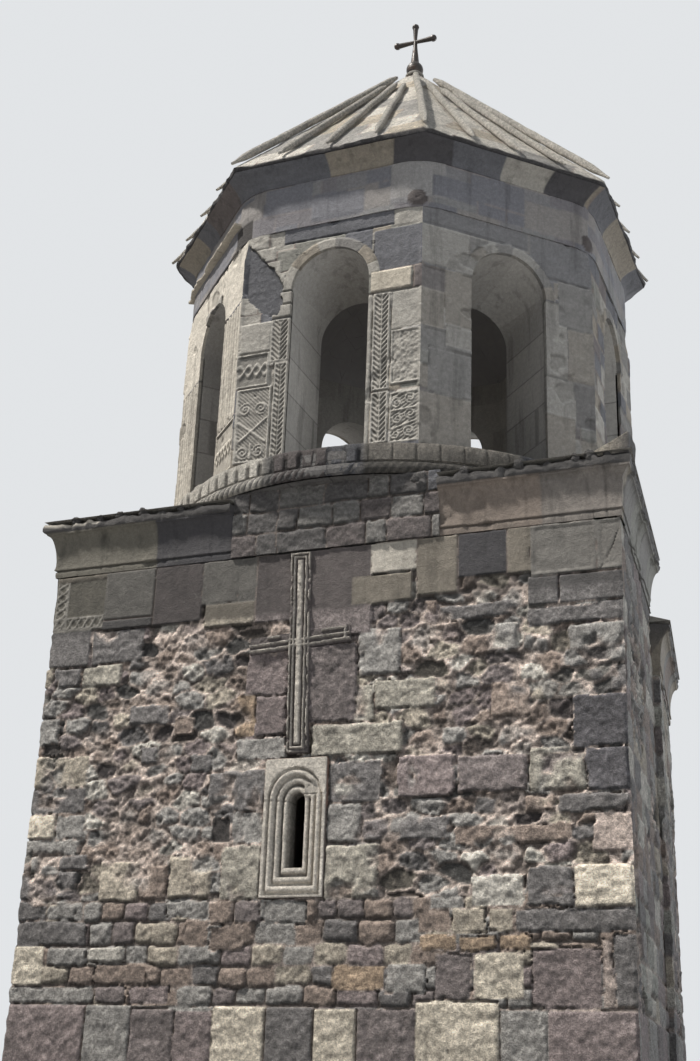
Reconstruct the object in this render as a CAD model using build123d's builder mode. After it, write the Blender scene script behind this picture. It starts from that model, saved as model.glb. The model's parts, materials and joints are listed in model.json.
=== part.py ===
from build123d import *
from math import cos, radians, sin, sqrt, tan
import os

# A small stone bell tower: a square tower base with a ground room, and on it
# an octagonal belfry open through eight arches, under a pyramid of stone slabs.
# The origin is the centre of the base at ground level. The carved front faces -Y.

# Tower base in plan: it narrows to the back, and its rear part stands a step proud.
# The walls are the rubble core, and facing stones stand proud of it by the facing depth.
base_depth = 5300
corner_reach = 350
front_narrowing = 280
rear_narrowing = 290
rear_step = 70
rear_step_y = 350
end_wall = 950
side_wall_at_back = 900
facing_depth = 70

# Octagonal belfry in plan
drum_setback = 45
drum_wall = 870
podium_margin = 30
ring_overhang = 40
arch_width = 950
band_wall = 390
band_proud = 45
band_vertex_radius = 700

# Heights, each from the one below it
cornice_bottom = 5710
cornice_height = 640
rear_cornice_drop = 740
podium_rise = 90
ring_height = 340
rope_size = 130
ring_chamfer = 40
pier_height = 2150
arch_head = 345
arch_soffit_drop = 220
band_height = 780
eave_thickness = 90
roof_rise = 3370
floor_thickness = 150

# Slit window and its carved orders
window_axis_x = -125
window_block_width = 670
window_block_bottom = 2140
window_block_height = 1360
window_block_depth = 250
window_block_proud = 10
slit_width = 190
slit_height = 780
slit_sill_rise = 280
order_width = 60
order_step = 22
order_count = 3
order_roll = 34

# Relief cross over the window
cross_gap = 50
cross_width = 1110
cross_bar = 230
cross_strip = 90
cross_arm_drop = 1010
cross_relief = 40
cross_ridge = 30

# Doorway and the vault of the ground room
door_width = 1000
door_height = 2100
vault_crown_cover = 360
vault_rise = 850
vault_bearing = 200

# Cornice of the base
cornice_overhang = 140
cornice_slab = 150
cornice_lip = 30
cornice_fillet = 40
cornice_fillet_height = 70
cornice_bearing = 300
front_left_cornice_end = -1000
front_right_cornice_end = 1340
corner_roof_pitch = 18

# Dome, roof and finial
dome_thickness = 330
dome_rise = 860
dome_clearance = 2
eave_overhang = 330
hip_roll_radius = 60
face_roll_radius = 45
rolls_per_face = 3
face_roll_share = 0.86
roll_nose = 25
cap_radius = 130
cap_height = 60
cap_top_radius = 105
ball_radius = 120
ball_seat = 80
stem_foot_radius = 60
stem_radius = 31
arm_rise = 495
arm_reach = 270
arm_end_radius = 38
head_rise = 265
knob_radius = 50
knob_bands = 6

os.makedirs("parts", exist_ok=True)

corner_factor = 1 / cos(radians(22.5))
half_depth = base_depth / 2
core_depth = half_depth - facing_depth
apothem = half_depth - drum_setback
inner_apothem = apothem - drum_wall
podium_radius = apothem * corner_factor + podium_margin
ring_radius = podium_radius + ring_overhang
half_front = podium_radius + corner_reach
front_half_at_step = half_front - front_narrowing
rear_half_at_step = front_half_at_step + rear_step
half_back = rear_half_at_step - rear_narrowing
half_room_w = half_back - side_wall_at_back
half_room_d = half_depth - end_wall
front_taper = front_narrowing / (rear_step_y + half_depth)
rear_taper = rear_narrowing / (half_depth - rear_step_y)
rear_cornice_bottom = cornice_bottom - rear_cornice_drop
front_eave = cornice_bottom + cornice_height
rear_eave = rear_cornice_bottom + cornice_height
podium_top = front_eave + podium_rise
ring_top = podium_top + ring_height
arch_spring = ring_top + pier_height
arch_seat = arch_spring - arch_soffit_drop
band_bottom = arch_spring + arch_width / 2 + arch_head
band_top = band_bottom + band_height
side_names = ["front", "front_right", "right", "back_right", "back", "back_left", "left", "front_left"]
pier_names = ["front_right", "right_front", "right_back", "back_right",
              "back_left", "left_back", "left_front", "front_left"]


def half_width(y):
    """Half the width of the base at y: it narrows to the back and steps out at mid-depth."""
    if y <= rear_step_y:
        return half_front - (y + half_depth) * front_taper
    return rear_half_at_step - (y - rear_step_y) * rear_taper


def core_width(y):
    """Half the width of the rubble core at y."""
    return half_width(y) - facing_depth


def save(piece, name):
    """Label a finished piece and write it as its own file."""
    piece.part.label = name
    export_step(piece.part, f"parts/{name}.step")


# Front wall, in four parts round the slit window
window_left = window_axis_x - window_block_width / 2
window_right = window_axis_x + window_block_width / 2
window_block_top = window_block_bottom + window_block_height

with BuildPart() as front_wall_left:
    with BuildSketch(Plane.XY):
        Polygon((-core_width(-core_depth), -core_depth), (window_left, -core_depth),
                (window_left, -half_room_d), (-core_width(-half_room_d), -half_room_d), align=None)
    extrude(amount=cornice_bottom)
save(front_wall_left, "front_wall_left")

with BuildPart() as front_wall_right:
    with BuildSketch(Plane.XY):
        Polygon((core_width(-core_depth), -core_depth), (core_width(-half_room_d), -half_room_d),
                (window_right, -half_room_d), (window_right, -core_depth), align=None)
    extrude(amount=cornice_bottom)
save(front_wall_right, "front_wall_right")

with BuildPart() as front_wall_below_window:
    with BuildSketch(Plane.XY):
        Polygon((window_left, -core_depth), (window_right, -core_depth),
                (window_right, -half_room_d), (window_left, -half_room_d), align=None)
    extrude(amount=window_block_bottom)
save(front_wall_below_window, "front_wall_below_window")

with BuildPart() as front_wall_above_window:
    with BuildSketch(Plane.XY.offset(window_block_top)):
        Polygon((window_left, -core_depth), (window_right, -core_depth),
                (window_right, -half_room_d), (window_left, -half_room_d), align=None)
    extrude(amount=cornice_bottom - window_block_top)
save(front_wall_above_window, "front_wall_above_window")

# Back wall, in three parts round the doorway
with BuildPart() as back_wall_left:
    with BuildSketch(Plane.XY):
        Polygon((-core_width(core_depth), core_depth), (-core_width(half_room_d), half_room_d),
                (-door_width / 2, half_room_d), (-door_width / 2, core_depth), align=None)
    extrude(amount=rear_cornice_bottom)
save(back_wall_left, "back_wall_left")

with BuildPart() as back_wall_right:
    with BuildSketch(Plane.XY):
        Polygon((core_width(core_depth), core_depth), (door_width / 2, core_depth),
                (door_width / 2, half_room_d), (core_width(half_room_d), half_room_d), align=None)
    extrude(amount=rear_cornice_bottom)
save(back_wall_right, "back_wall_right")

with BuildPart() as back_wall_over_door:
    with BuildSketch(Plane.XY.offset(door_height)):
        Polygon((-door_width / 2, half_room_d), (door_width / 2, half_room_d),
                (door_width / 2, core_depth), (-door_width / 2, core_depth), align=None)
    extrude(amount=rear_cornice_bottom - door_height)
save(back_wall_over_door, "back_wall_over_door")

# Side walls: the front part stands higher, the rear part stands a little proud of it
with BuildPart() as right_wall:
    with BuildSketch(Plane.XY):
        Polygon((half_room_w, -half_room_d), (core_width(-half_room_d), -half_room_d),
                (core_width(rear_step_y), rear_step_y), (half_room_w, rear_step_y), align=None)
    extrude(amount=cornice_bottom)
    with BuildSketch(Plane.XY):
        Polygon((half_room_w, rear_step_y), (rear_half_at_step - facing_depth, rear_step_y),
                (core_width(half_room_d), half_room_d), (half_room_w, half_room_d), align=None)
    extrude(amount=rear_cornice_bottom)
save(right_wall, "right_wall")

with BuildPart() as left_wall:
    mirror(right_wall.part, about=Plane.YZ)
save(left_wall, "left_wall")

with BuildPart() as ground_floor:
    with BuildSketch(Plane.XY):
        Rectangle(2 * half_room_w, 2 * half_room_d)
    extrude(amount=floor_thickness)
save(ground_floor, "ground_floor")

# Barrel vault over the ground room, turned across the tower
vault_spring = cornice_bottom - vault_crown_cover - vault_rise
vault_half_span = half_room_w - vault_bearing
vault_radius = (vault_half_span ** 2 + vault_rise ** 2) / (2 * vault_rise)

with BuildPart() as ground_room_vault:
    with BuildSketch(Plane.XY.offset(vault_spring)):
        Rectangle(2 * half_room_w, 2 * half_room_d)
    extrude(amount=cornice_bottom - vault_spring)
    with BuildSketch(Plane.XZ.offset(-half_room_d)):
        with Locations((0, vault_spring + vault_rise - vault_radius)):
            Circle(vault_radius)
    extrude(amount=2 * half_room_d, mode=Mode.SUBTRACT)
save(ground_room_vault, "ground_room_vault")

# Stone frame of the slit window: three recessed orders with a roll in each, round an arched slit
slit_sill = window_block_bottom + slit_sill_rise
slit_arch_centre = slit_sill + slit_height - slit_width / 2
window_face = half_depth + window_block_proud


def slit_outline(margin, depth_behind_face):
    """Sketch of the slit with a margin all round: square at the sill and arched at the head."""
    with BuildSketch(Plane.XZ.offset(window_face - depth_behind_face)) as outline:
        with Locations((window_axis_x, (slit_sill - margin + slit_arch_centre) / 2)):
            Rectangle(slit_width + 2 * margin, slit_arch_centre - slit_sill + margin)
        with Locations((window_axis_x, slit_arch_centre)):
            Circle(slit_width / 2 + margin)
    return outline.sketch


with BuildPart() as slit_window_frame:
    with BuildSketch(Plane.XZ.offset(window_face)):
        with Locations((window_axis_x, window_block_bottom + window_block_height / 2)):
            Rectangle(window_block_width, window_block_height)
    extrude(amount=-window_block_depth - window_block_proud)
    for order in range(order_count):
        order_margin = (order_count - order) * order_width
        order_depth = (order + 1) * order_step
        extrude(slit_outline(order_margin, 0), amount=-order_depth, mode=Mode.SUBTRACT)
        extrude(slit_outline(order_margin - order_width + order_roll, order_depth), amount=order_step)
    extrude(slit_outline(0, 0), amount=-window_block_depth - window_block_proud, mode=Mode.SUBTRACT)
save(slit_window_frame, "slit_window_frame")

# Relief cross: an upright of nested ridges with a square foot, and two ridged strips for each arm
cross_bottom = window_block_top + cross_gap
cross_height = cornice_bottom - cross_gap / 2 - cross_bottom
cross_arm_height = cornice_bottom - cross_arm_drop
with BuildPart() as relief_cross:
    with BuildSketch(Plane.XZ.offset(core_depth)):
        with Locations((window_axis_x, cross_bottom + cross_height / 2)):
            Rectangle(cross_bar, cross_height)
        with Locations((window_axis_x, cross_arm_height + cross_strip * 0.75),
                       (window_axis_x, cross_arm_height - cross_strip * 0.75)):
            Rectangle(cross_width, cross_strip)
    extrude(amount=facing_depth + cross_relief - cross_ridge)
    with BuildSketch(Plane.XZ.offset(half_depth + cross_relief - cross_ridge)):
        with Locations((window_axis_x, cross_bottom + cross_height / 2)):
            Rectangle(cross_bar, cross_height)
            Rectangle(cross_bar - 2 * cross_ridge, cross_height - 2 * cross_ridge, mode=Mode.SUBTRACT)
            Rectangle(cross_bar - 4 * cross_ridge, cross_height - 4 * cross_ridge)
        for strip_side in (-0.75, 0.75):
            with Locations((window_axis_x, cross_arm_height + cross_strip * strip_side)):
                Rectangle(cross_width, cross_strip)
                Rectangle(cross_width, cross_strip - 2 * cross_ridge, mode=Mode.SUBTRACT)
    extrude(amount=cross_ridge)
save(relief_cross, "relief_cross")


def cornice_run(points, bottom, step_side):
    """Fillet, cavetto and eave slab swept along a plan path with mitres, cut at the step of the walls."""
    start = Vector(points[0][0], points[0][1], bottom)
    along = Vector(points[1][0], points[1][1], bottom) - start
    outward = Vector(along.Y, -along.X, 0).normalized()
    if outward.dot(start) < 0:
        outward = outward * -1
    slab_bottom = cornice_height - cornice_slab
    cavetto_foot = 2 * cornice_fillet_height
    cavetto_head = cornice_overhang - cornice_lip
    with BuildPart() as run:
        with BuildLine() as path:
            Polyline(*[(x, y, bottom) for x, y in points])
        with BuildSketch(Plane(origin=start, x_dir=outward, z_dir=outward.cross(Vector(0, 0, 1)))):
            with BuildLine():
                Polyline((0, cavetto_foot), (0, cornice_fillet_height),
                         (cornice_fillet, cornice_fillet_height * 0.8),
                         (cornice_fillet, cornice_fillet_height * 0.2), (0, 0), (-cornice_bearing, 0),
                         (-cornice_bearing, cornice_height), (cornice_overhang, cornice_height),
                         (cornice_overhang, slab_bottom), (cavetto_head, slab_bottom))
                TangentArc((0, cavetto_foot), (cavetto_head, slab_bottom), tangent=(0, 1))
            make_face()
        sweep(path=path.wires()[0], transition=Transition.RIGHT)
        split(bisect_by=Plane.XZ.offset(-rear_step_y), keep=step_side)
    return run


# Cornices of the base, carried round the corners and cut at the step in the side walls
past_step = cornice_overhang
front_run_end = (front_half_at_step - past_step * front_taper, rear_step_y + past_step)
rear_run_end = (rear_half_at_step + past_step * rear_taper, rear_step_y - past_step)
front_right_cornice = cornice_run([(front_right_cornice_end, -half_depth), (half_front, -half_depth),
                                   front_run_end], cornice_bottom, Keep.TOP)
save(front_right_cornice, "front_right_cornice")

front_left_cornice = cornice_run([(front_left_cornice_end, -half_depth), (-half_front, -half_depth),
                                  (-front_run_end[0], front_run_end[1])], cornice_bottom, Keep.TOP)
save(front_left_cornice, "front_left_cornice")

back_cornice = cornice_run([rear_run_end, (half_back, half_depth), (-half_back, half_depth),
                            (-rear_run_end[0], rear_run_end[1])], rear_cornice_bottom, Keep.BOTTOM)
save(back_cornice, "back_cornice")

# Podium of the drum: round, cut flush with the facade, with the front cornices let into it
with BuildPart() as drum_podium:
    with BuildSketch(Plane.XY.offset(cornice_bottom)):
        Circle(podium_radius)
        with Locations((0, -half_depth - podium_radius / 2)):
            Rectangle(2 * podium_radius, podium_radius, mode=Mode.SUBTRACT)
    extrude(amount=podium_top - cornice_bottom)
    add(front_right_cornice.part, mode=Mode.SUBTRACT)
    add(front_left_cornice.part, mode=Mode.SUBTRACT)
save(drum_podium, "drum_podium")


def slope(point, outward):
    """Plane of a roof slope through an eave point, falling towards outward; its normal points up."""
    away = Vector(*outward).normalized()
    pitch = radians(corner_roof_pitch)
    return Plane(origin=point, z_dir=away * sin(pitch) + Vector(0, 0, cos(pitch)))


def mirrored(points, side):
    """Plan points on the right (side 1) or their mirror images on the left (side -1)."""
    return [(side * x, y) for x, y in points]


front_eave_half = half_front + cornice_overhang
front_eave_y = -half_depth - cornice_overhang
step_eave_half = front_half_at_step + cornice_overhang
rear_step_eave_half = rear_half_at_step + cornice_overhang
back_eave_half = half_back + cornice_overhang
back_eave_y = half_depth + cornice_overhang


def front_roof(side, cornice_end, cornice):
    """Front corner: fill on the wall tops, a slope from both eaves, cut round the podium and the ring."""
    outline = mirrored([(cornice_end, front_eave_y), (front_eave_half, front_eave_y),
                        (step_eave_half, rear_step_y), (0, rear_step_y), (0, -half_room_d),
                        (cornice_end, -half_room_d)], side)
    beyond_walls = mirrored([(0, -half_depth), (half_front, -half_depth),
                             (front_half_at_step, rear_step_y), (2 * half_front, rear_step_y),
                             (2 * half_front, -2 * half_depth), (0, -2 * half_depth)], side)
    with BuildPart() as corner:
        with BuildSketch(Plane.XY.offset(cornice_bottom)):
            Polygon(*outline, align=None)
        extrude(amount=ring_top - cornice_bottom)
        split(bisect_by=slope((0, front_eave_y, front_eave), (0, -1, 0)), keep=Keep.BOTTOM)
        split(bisect_by=slope((side * front_eave_half, front_eave_y, front_eave),
                              (side, front_taper, 0)), keep=Keep.BOTTOM)
        with BuildSketch(Plane.XY.offset(cornice_bottom)):
            Polygon(*beyond_walls, align=None)
        extrude(amount=cornice_height, mode=Mode.SUBTRACT)
        add(cornice.part, mode=Mode.SUBTRACT)
        with BuildSketch(Plane.XY.offset(podium_top)):
            Circle(ring_radius)
        extrude(amount=ring_height, mode=Mode.SUBTRACT)
        add(drum_podium.part, mode=Mode.SUBTRACT)
    return corner


def rear_roof(side):
    """Rear corner: the same on the lower rear walls, with the fill carried in under the podium."""
    outline = mirrored([(0, half_room_d), (half_room_w, half_room_d), (half_room_w, rear_step_y),
                        (rear_step_eave_half, rear_step_y), (back_eave_half, back_eave_y), (0, back_eave_y)],
                       side)
    beyond_walls = mirrored([(rear_half_at_step, rear_step_y), (half_back, half_depth), (0, half_depth),
                             (0, 2 * half_depth), (2 * half_front, 2 * half_depth),
                             (2 * half_front, rear_step_y)], side)
    with BuildPart() as corner:
        with BuildSketch(Plane.XY.offset(rear_cornice_bottom)):
            Polygon(*outline, align=None)
        extrude(amount=ring_top - rear_cornice_bottom)
        split(bisect_by=slope((0, back_eave_y, rear_eave), (0, 1, 0)), keep=Keep.BOTTOM)
        split(bisect_by=slope((side * rear_step_eave_half, rear_step_y, rear_eave),
                              (side, rear_taper, 0)), keep=Keep.BOTTOM)
        with BuildSketch(Plane.XY.offset(rear_cornice_bottom)):
            Polygon(*beyond_walls, align=None)
        extrude(amount=cornice_height, mode=Mode.SUBTRACT)
        add(back_cornice.part, mode=Mode.SUBTRACT)
        with BuildSketch(Plane.XY.offset(cornice_bottom)):
            Circle(podium_radius)
        extrude(amount=ring_top - cornice_bottom, mode=Mode.SUBTRACT)
    return corner


# Corner roofs: masonry fill over the corners of the base, sloping up to the podium
front_right_roof = front_roof(1, front_right_cornice_end, front_right_cornice)
save(front_right_roof, "front_right_roof")
front_left_roof = front_roof(-1, -front_left_cornice_end, front_left_cornice)
save(front_left_roof, "front_left_roof")
rear_right_roof = rear_roof(1)
save(rear_right_roof, "rear_right_roof")
rear_left_roof = rear_roof(-1)
save(rear_left_roof, "rear_left_roof")

# Round foot of the drum: a rope moulding under a plain band, with the belfry floor in one disc
rope_middle = podium_top + rope_size / 2
rope_section = [(podium_radius + ring_overhang * sin(radians(turn)),
                 rope_middle - rope_size / 2 * cos(radians(turn))) for turn in range(0, 181, 45)]
with BuildPart() as drum_base:
    with BuildSketch(Plane.XZ):
        with BuildLine():
            Polyline((0, ring_top), (0, podium_top), *rope_section, (podium_radius, ring_top - ring_chamfer),
                     (podium_radius - ring_chamfer, ring_top), (0, ring_top))
        make_face()
    revolve(axis=Axis.Z)
save(drum_base, "drum_base")

# Belfry: eight piers on the vertices of the octagon, up to the seat of the arches
face_half = apothem * tan(radians(22.5))
inner_face_half = inner_apothem * tan(radians(22.5))
vertex = Vector(apothem * corner_factor, 0)
inner_vertex = Vector(inner_apothem * corner_factor, 0)
along_face = Vector(1, 0).rotate(Axis.Z, 90 + 22.5)
outer_jamb = vertex + along_face * (face_half - arch_width / 2)
inner_jamb = inner_vertex + along_face * (inner_face_half - arch_width / 2)

for index, name in enumerate(pier_names):
    angle = -67.5 + 45 * index
    with BuildPart() as pier:
        with BuildSketch(Plane.XY.offset(ring_top).rotated((0, 0, angle))):
            Polygon((vertex.X, vertex.Y), (outer_jamb.X, outer_jamb.Y), (inner_jamb.X, inner_jamb.Y),
                    (inner_vertex.X, inner_vertex.Y), (inner_jamb.X, -inner_jamb.Y),
                    (outer_jamb.X, -outer_jamb.Y), align=None)
        extrude(amount=arch_seat - ring_top)
    save(pier, f"pier_{name}")

# Belfry arches: one wall segment a side, mitred at the vertices, with a round arch through it.
# The soffit slopes down inwards, so the opening starts at the axis below the springing of the face.
soffit_slope = arch_soffit_drop / drum_wall
for index, name in enumerate(side_names):
    facing = Plane.XY.offset(arch_seat).rotated((0, 0, -90 + 45 * index))
    with BuildPart() as arch:
        with BuildSketch(facing):
            Polygon((apothem, -face_half), (apothem, face_half), (inner_apothem, inner_face_half),
                    (inner_apothem, -inner_face_half), align=None)
        extrude(amount=band_bottom - arch_seat)
        with BuildSketch(Plane(origin=(0, 0, arch_spring - apothem * soffit_slope), x_dir=facing.y_dir,
                               z_dir=facing.x_dir)):
            Circle(arch_width / 2)
            with Locations((0, -arch_soffit_drop)):
                Rectangle(arch_width, 2 * arch_soffit_drop)
        extrude(amount=apothem + drum_wall, dir=facing.x_dir + Vector(0, 0, soffit_slope),
                mode=Mode.SUBTRACT)
    save(arch, f"arch_{name}")

# Upper band of the drum, rounded at the vertices
with BuildPart() as drum_band:
    with BuildSketch(Plane.XY.offset(band_bottom).rotated((0, 0, 22.5))) as band_plan:
        RegularPolygon((apothem + band_proud) * corner_factor, 8)
        fillet(band_plan.vertices(), band_vertex_radius)
        RegularPolygon((apothem - band_wall) * corner_factor, 8, mode=Mode.SUBTRACT)
    extrude(amount=band_height)
save(drum_band, "drum_band")


def cloister_vault(half_span, rise):
    """What four crossed barrels share, set on the band: an eight-sided vault of one rise."""
    with BuildPart() as vault:
        for crossing in range(4):
            end, across, along = [Vector(*axis).rotate(Axis.Z, 45 * crossing)
                                  for axis in ((0, 2 * half_span), (1, 0), (0, -1))]
            with BuildSketch(Plane(origin=end, x_dir=across, z_dir=along)):
                with BuildLine():
                    ThreePointArc((-half_span, 0), (0, rise), (half_span, 0))
                    Line((half_span, 0), (-half_span, 0))
                make_face()
            extrude(amount=4 * half_span, mode=Mode.INTERSECT if crossing else Mode.ADD)
    return vault.part.moved(Location((0, 0, band_bottom)))


# Eight-sided dome over the belfry, springing from the heads of the arch walls
dome_outer_half_span = inner_apothem + dome_thickness
dome_outer_rise = dome_rise + dome_thickness
with BuildPart() as belfry_dome:
    add(cloister_vault(dome_outer_half_span, dome_outer_rise))
    add(cloister_vault(inner_apothem, dome_rise), mode=Mode.SUBTRACT)
save(belfry_dome, "belfry_dome")

# Roof: an eight-sided pyramid of stone slabs with rolls on the hips and down each face
eave_apothem = apothem + eave_overhang
eave_top = band_top + eave_thickness
apex = Vector(0, 0, eave_top + roof_rise)
cap_bottom = apex.Z - cap_radius * roof_rise / eave_apothem


def roll_feet(angle, radius_out, reach):
    """Planes across a roll at its eave end, for all eight sides, with the length of the roll."""
    foot = Vector(radius_out, 0, eave_top).rotate(Axis.Z, angle)
    up = apex - foot
    nose = foot - up.normalized() * roll_nose
    planes = [Plane(origin=nose.rotate(Axis.Z, 45 * side), z_dir=up.rotate(Axis.Z, 45 * side))
              for side in range(8)]
    return planes, up.length * reach + roll_nose


with BuildPart() as roof:
    with BuildSketch(Plane.XY.offset(band_top).rotated((0, 0, 22.5))):
        RegularPolygon(eave_apothem * corner_factor, 8)
    extrude(amount=eave_thickness)
    with BuildSketch(Plane.XY.offset(eave_top).rotated((0, 0, 22.5))):
        RegularPolygon(eave_apothem * corner_factor, 8)
    with BuildSketch(Plane.XY.offset(cap_bottom).rotated((0, 0, 22.5))):
        RegularPolygon(cap_radius * corner_factor, 8)
    loft()
    hip_planes, hip_length = roll_feet(22.5, eave_apothem * corner_factor, 1 - cap_radius / eave_apothem)
    with BuildSketch(*hip_planes):
        RegularPolygon(hip_roll_radius, 12)
    extrude(amount=hip_length)
    eave_face_half = eave_apothem * tan(radians(22.5))
    for roll in range(rolls_per_face):
        offset_along_eave = eave_face_half * (2 * (roll + 1) / (rolls_per_face + 1) - 1)
        foot_radius = sqrt(eave_apothem ** 2 + offset_along_eave ** 2)
        foot_angle = Vector(eave_apothem, offset_along_eave).get_signed_angle(Vector(1, 0), Vector(0, 0, -1))
        face_planes, face_length = roll_feet(foot_angle, foot_radius, face_roll_share)
        with BuildSketch(*face_planes):
            RegularPolygon(face_roll_radius, 10)
        extrude(amount=face_length)
    split(bisect_by=Plane.XY.offset(cap_bottom), keep=Keep.BOTTOM)
    split(bisect_by=Plane.XY.offset(band_top), keep=Keep.TOP)
    add(cloister_vault(dome_outer_half_span + dome_clearance, dome_outer_rise + dome_clearance),
        mode=Mode.SUBTRACT)
save(roof, "roof")

# Round stone cap on the apex
cap_top = cap_bottom + cap_height
with BuildPart() as roof_cap:
    with BuildSketch(Plane.XZ):
        Polygon((0, cap_bottom), (cap_radius, cap_bottom), (cap_radius, cap_bottom + cap_height / 2),
                (cap_top_radius, cap_top), (0, cap_top), align=None)
    revolve(axis=Axis.Z)
save(roof_cap, "roof_cap")


def knob_section(centre):
    """Half section of a knob turned on the vertical axis, in a few flat bands."""
    return [(knob_radius * sin(radians(180 * band / knob_bands)),
             centre - knob_radius * cos(radians(180 * band / knob_bands))) for band in range(knob_bands + 1)]


# Metal cross on its ball, every part turned: the ball is cut flat where it sits on the cap
ball_centre = cap_top + ball_seat
arm_height = ball_centre + arm_rise
head_height = arm_height + head_rise
ball_section = [(sqrt(ball_radius ** 2 - ball_seat ** 2), cap_top)]
ball_section += [(ball_radius * sin(radians(turn)), ball_centre - ball_radius * cos(radians(turn)))
                 for turn in range(64, 145, 16)]
with BuildPart() as finial_cross:
    with BuildSketch(Plane.XZ):
        Polygon((0, cap_top), *ball_section, (stem_foot_radius, ball_centre + ball_radius),
                (stem_radius, arm_height - 2 * knob_radius), (stem_radius * 0.8, arm_height + knob_radius),
                (arm_end_radius, head_height - knob_radius / 2), (0, head_height), align=None)
        Polygon(*knob_section(head_height), align=None)
    revolve(axis=Axis.Z)
    with BuildSketch(Plane.XY.offset(arm_height)):
        for side in (-1, 1):
            Polygon((0, 0), (0, stem_radius * 0.8), (side * (arm_reach - knob_radius / 2), arm_end_radius),
                    (side * arm_reach, 0), align=None)
            Polygon(*[(side * along + side * (arm_reach - head_height), out)
                      for out, along in knob_section(head_height)], align=None)
    revolve(axis=Axis((0, 0, arm_height), (1, 0, 0)))
save(finial_cross, "finial_cross")
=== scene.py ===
# %% [markdown]
# # A small stone bell tower
#
# The solids of the tower are fixed: a square base of rubble with its facing stones missing, an
# octagonal belfry over it and a pyramid of stone slabs. This lesson gives them their surfaces.
# Everything is in metres, in the frame of the solids: the carved front faces -Y and +Z is up.
# Each new piece is a function of two numbers, worked out for a whole grid of points at once, and the
# colour of each stone travels with its points as an attribute that the material reads.

import json
import math

import bpy
import numpy as np
from mathutils import Matrix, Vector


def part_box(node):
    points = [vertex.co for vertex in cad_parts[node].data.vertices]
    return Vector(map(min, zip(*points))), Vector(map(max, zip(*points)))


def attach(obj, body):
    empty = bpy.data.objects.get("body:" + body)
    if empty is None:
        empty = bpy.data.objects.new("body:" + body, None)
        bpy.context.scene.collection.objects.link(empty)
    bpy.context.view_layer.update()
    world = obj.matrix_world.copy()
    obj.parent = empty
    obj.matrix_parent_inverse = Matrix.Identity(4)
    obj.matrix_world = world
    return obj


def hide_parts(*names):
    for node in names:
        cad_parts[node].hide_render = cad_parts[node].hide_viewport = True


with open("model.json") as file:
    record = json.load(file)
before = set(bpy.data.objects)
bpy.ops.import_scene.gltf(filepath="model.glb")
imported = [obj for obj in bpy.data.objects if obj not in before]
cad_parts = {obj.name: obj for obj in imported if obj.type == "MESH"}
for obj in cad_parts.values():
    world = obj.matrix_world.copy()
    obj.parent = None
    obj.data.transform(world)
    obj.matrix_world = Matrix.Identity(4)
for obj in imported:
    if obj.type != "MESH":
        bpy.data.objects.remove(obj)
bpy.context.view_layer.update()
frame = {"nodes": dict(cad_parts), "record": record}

# %% [markdown]
# ## Sizes
#
# The main planes are read from the solids, so a change of size there moves the stones here. Only what
# a box can't tell, such as how far a wall narrows, is written as a size of its own.

# %% Sizes read from the solids
podium_low, podium_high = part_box("drum_podium")
left_run_low, left_run_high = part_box("front_left_cornice")
right_run_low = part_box("front_right_cornice")[0]
back_run_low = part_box("back_cornice")[0]
window_low, window_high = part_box("slit_window_frame")
cross_low, cross_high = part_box("relief_cross")
drum_foot_low, drum_foot_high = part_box("drum_base")

facade_y = podium_low[1]
half_depth = -facade_y
overhang = facade_y - left_run_low[1]
facing_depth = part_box("front_wall_left")[0][1] - facade_y
cornice_z, eave_z = left_run_low[2], left_run_high[2]
step_y, rear_cornice_z = back_run_low[1], back_run_low[2]
step_proud = 0.07
side_narrowing = 0.28
rear_narrowing = 0.29
side_angle = math.atan2(side_narrowing, step_y + half_depth)
half_front = -left_run_low[0] - overhang * math.tan(math.pi / 4 + side_angle / 2)
half_front_step = half_front - side_narrowing
half_rear_step = half_front_step + step_proud
half_back = half_rear_step - rear_narrowing

apothem = -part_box("arch_front")[0][1]
corner_turn = math.radians(22.5)
face_half = apothem * math.tan(corner_turn)
arch_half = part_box("pier_front_right")[0][0]
ring_bottom, ring_top = drum_foot_low[2], drum_foot_high[2]
arch_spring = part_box("pier_front_right")[1][2] + 0.22
band_bottom, band_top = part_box("drum_band")[0][2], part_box("drum_band")[1][2]
band_apothem = -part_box("drum_band")[0][1]
podium_radius = podium_high[0]
door_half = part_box("back_wall_right")[0][0]
door_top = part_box("back_wall_over_door")[0][2]
podium_left_end, podium_right_end = left_run_high[0], right_run_low[0]
print("facade", half_front, half_depth, "facing", round(facing_depth, 3), "drum", apothem, "arch", arch_half)

# %% [markdown]
# ## Sheets of points
#
# A surface is a sheet: rows and columns of points. Its quads join each point to the next column and
# the next row. A sheet that stands on a wall is closed at the back, so that it is a solid slab: its
# rim is carried back into the wall and capped there. A sheet whose columns wrap round is a tube, and
# one whose rows wrap round is a profile carried along a line.

# %% Sheets, rims and pieces
built = {}


def joined(*values):
    """Arrays and numbers, spread to one shape, as the parts of one array of points."""
    return np.stack(np.broadcast_arrays(*values), axis=-1)


def lifted(plan, up):
    """Points in space from points of the plan and their height."""
    return joined(plan[..., 0], plan[..., 1], up)


def sheet_quads(rows, cols, wrap_cols=False, wrap_rows=False):
    """Corner numbers of the quads of a sheet numbered row by row, each joined to the next column and row."""
    row, col = np.meshgrid(np.arange(rows if wrap_rows else rows - 1),
                           np.arange(cols if wrap_cols else cols - 1), indexing="ij")
    next_row, next_col = (row + 1) % rows, (col + 1) % cols
    corners = [row * cols + col, row * cols + next_col, next_row * cols + next_col, next_row * cols + col]
    return np.stack(corners, axis=-1).reshape(-1, 4)


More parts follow.
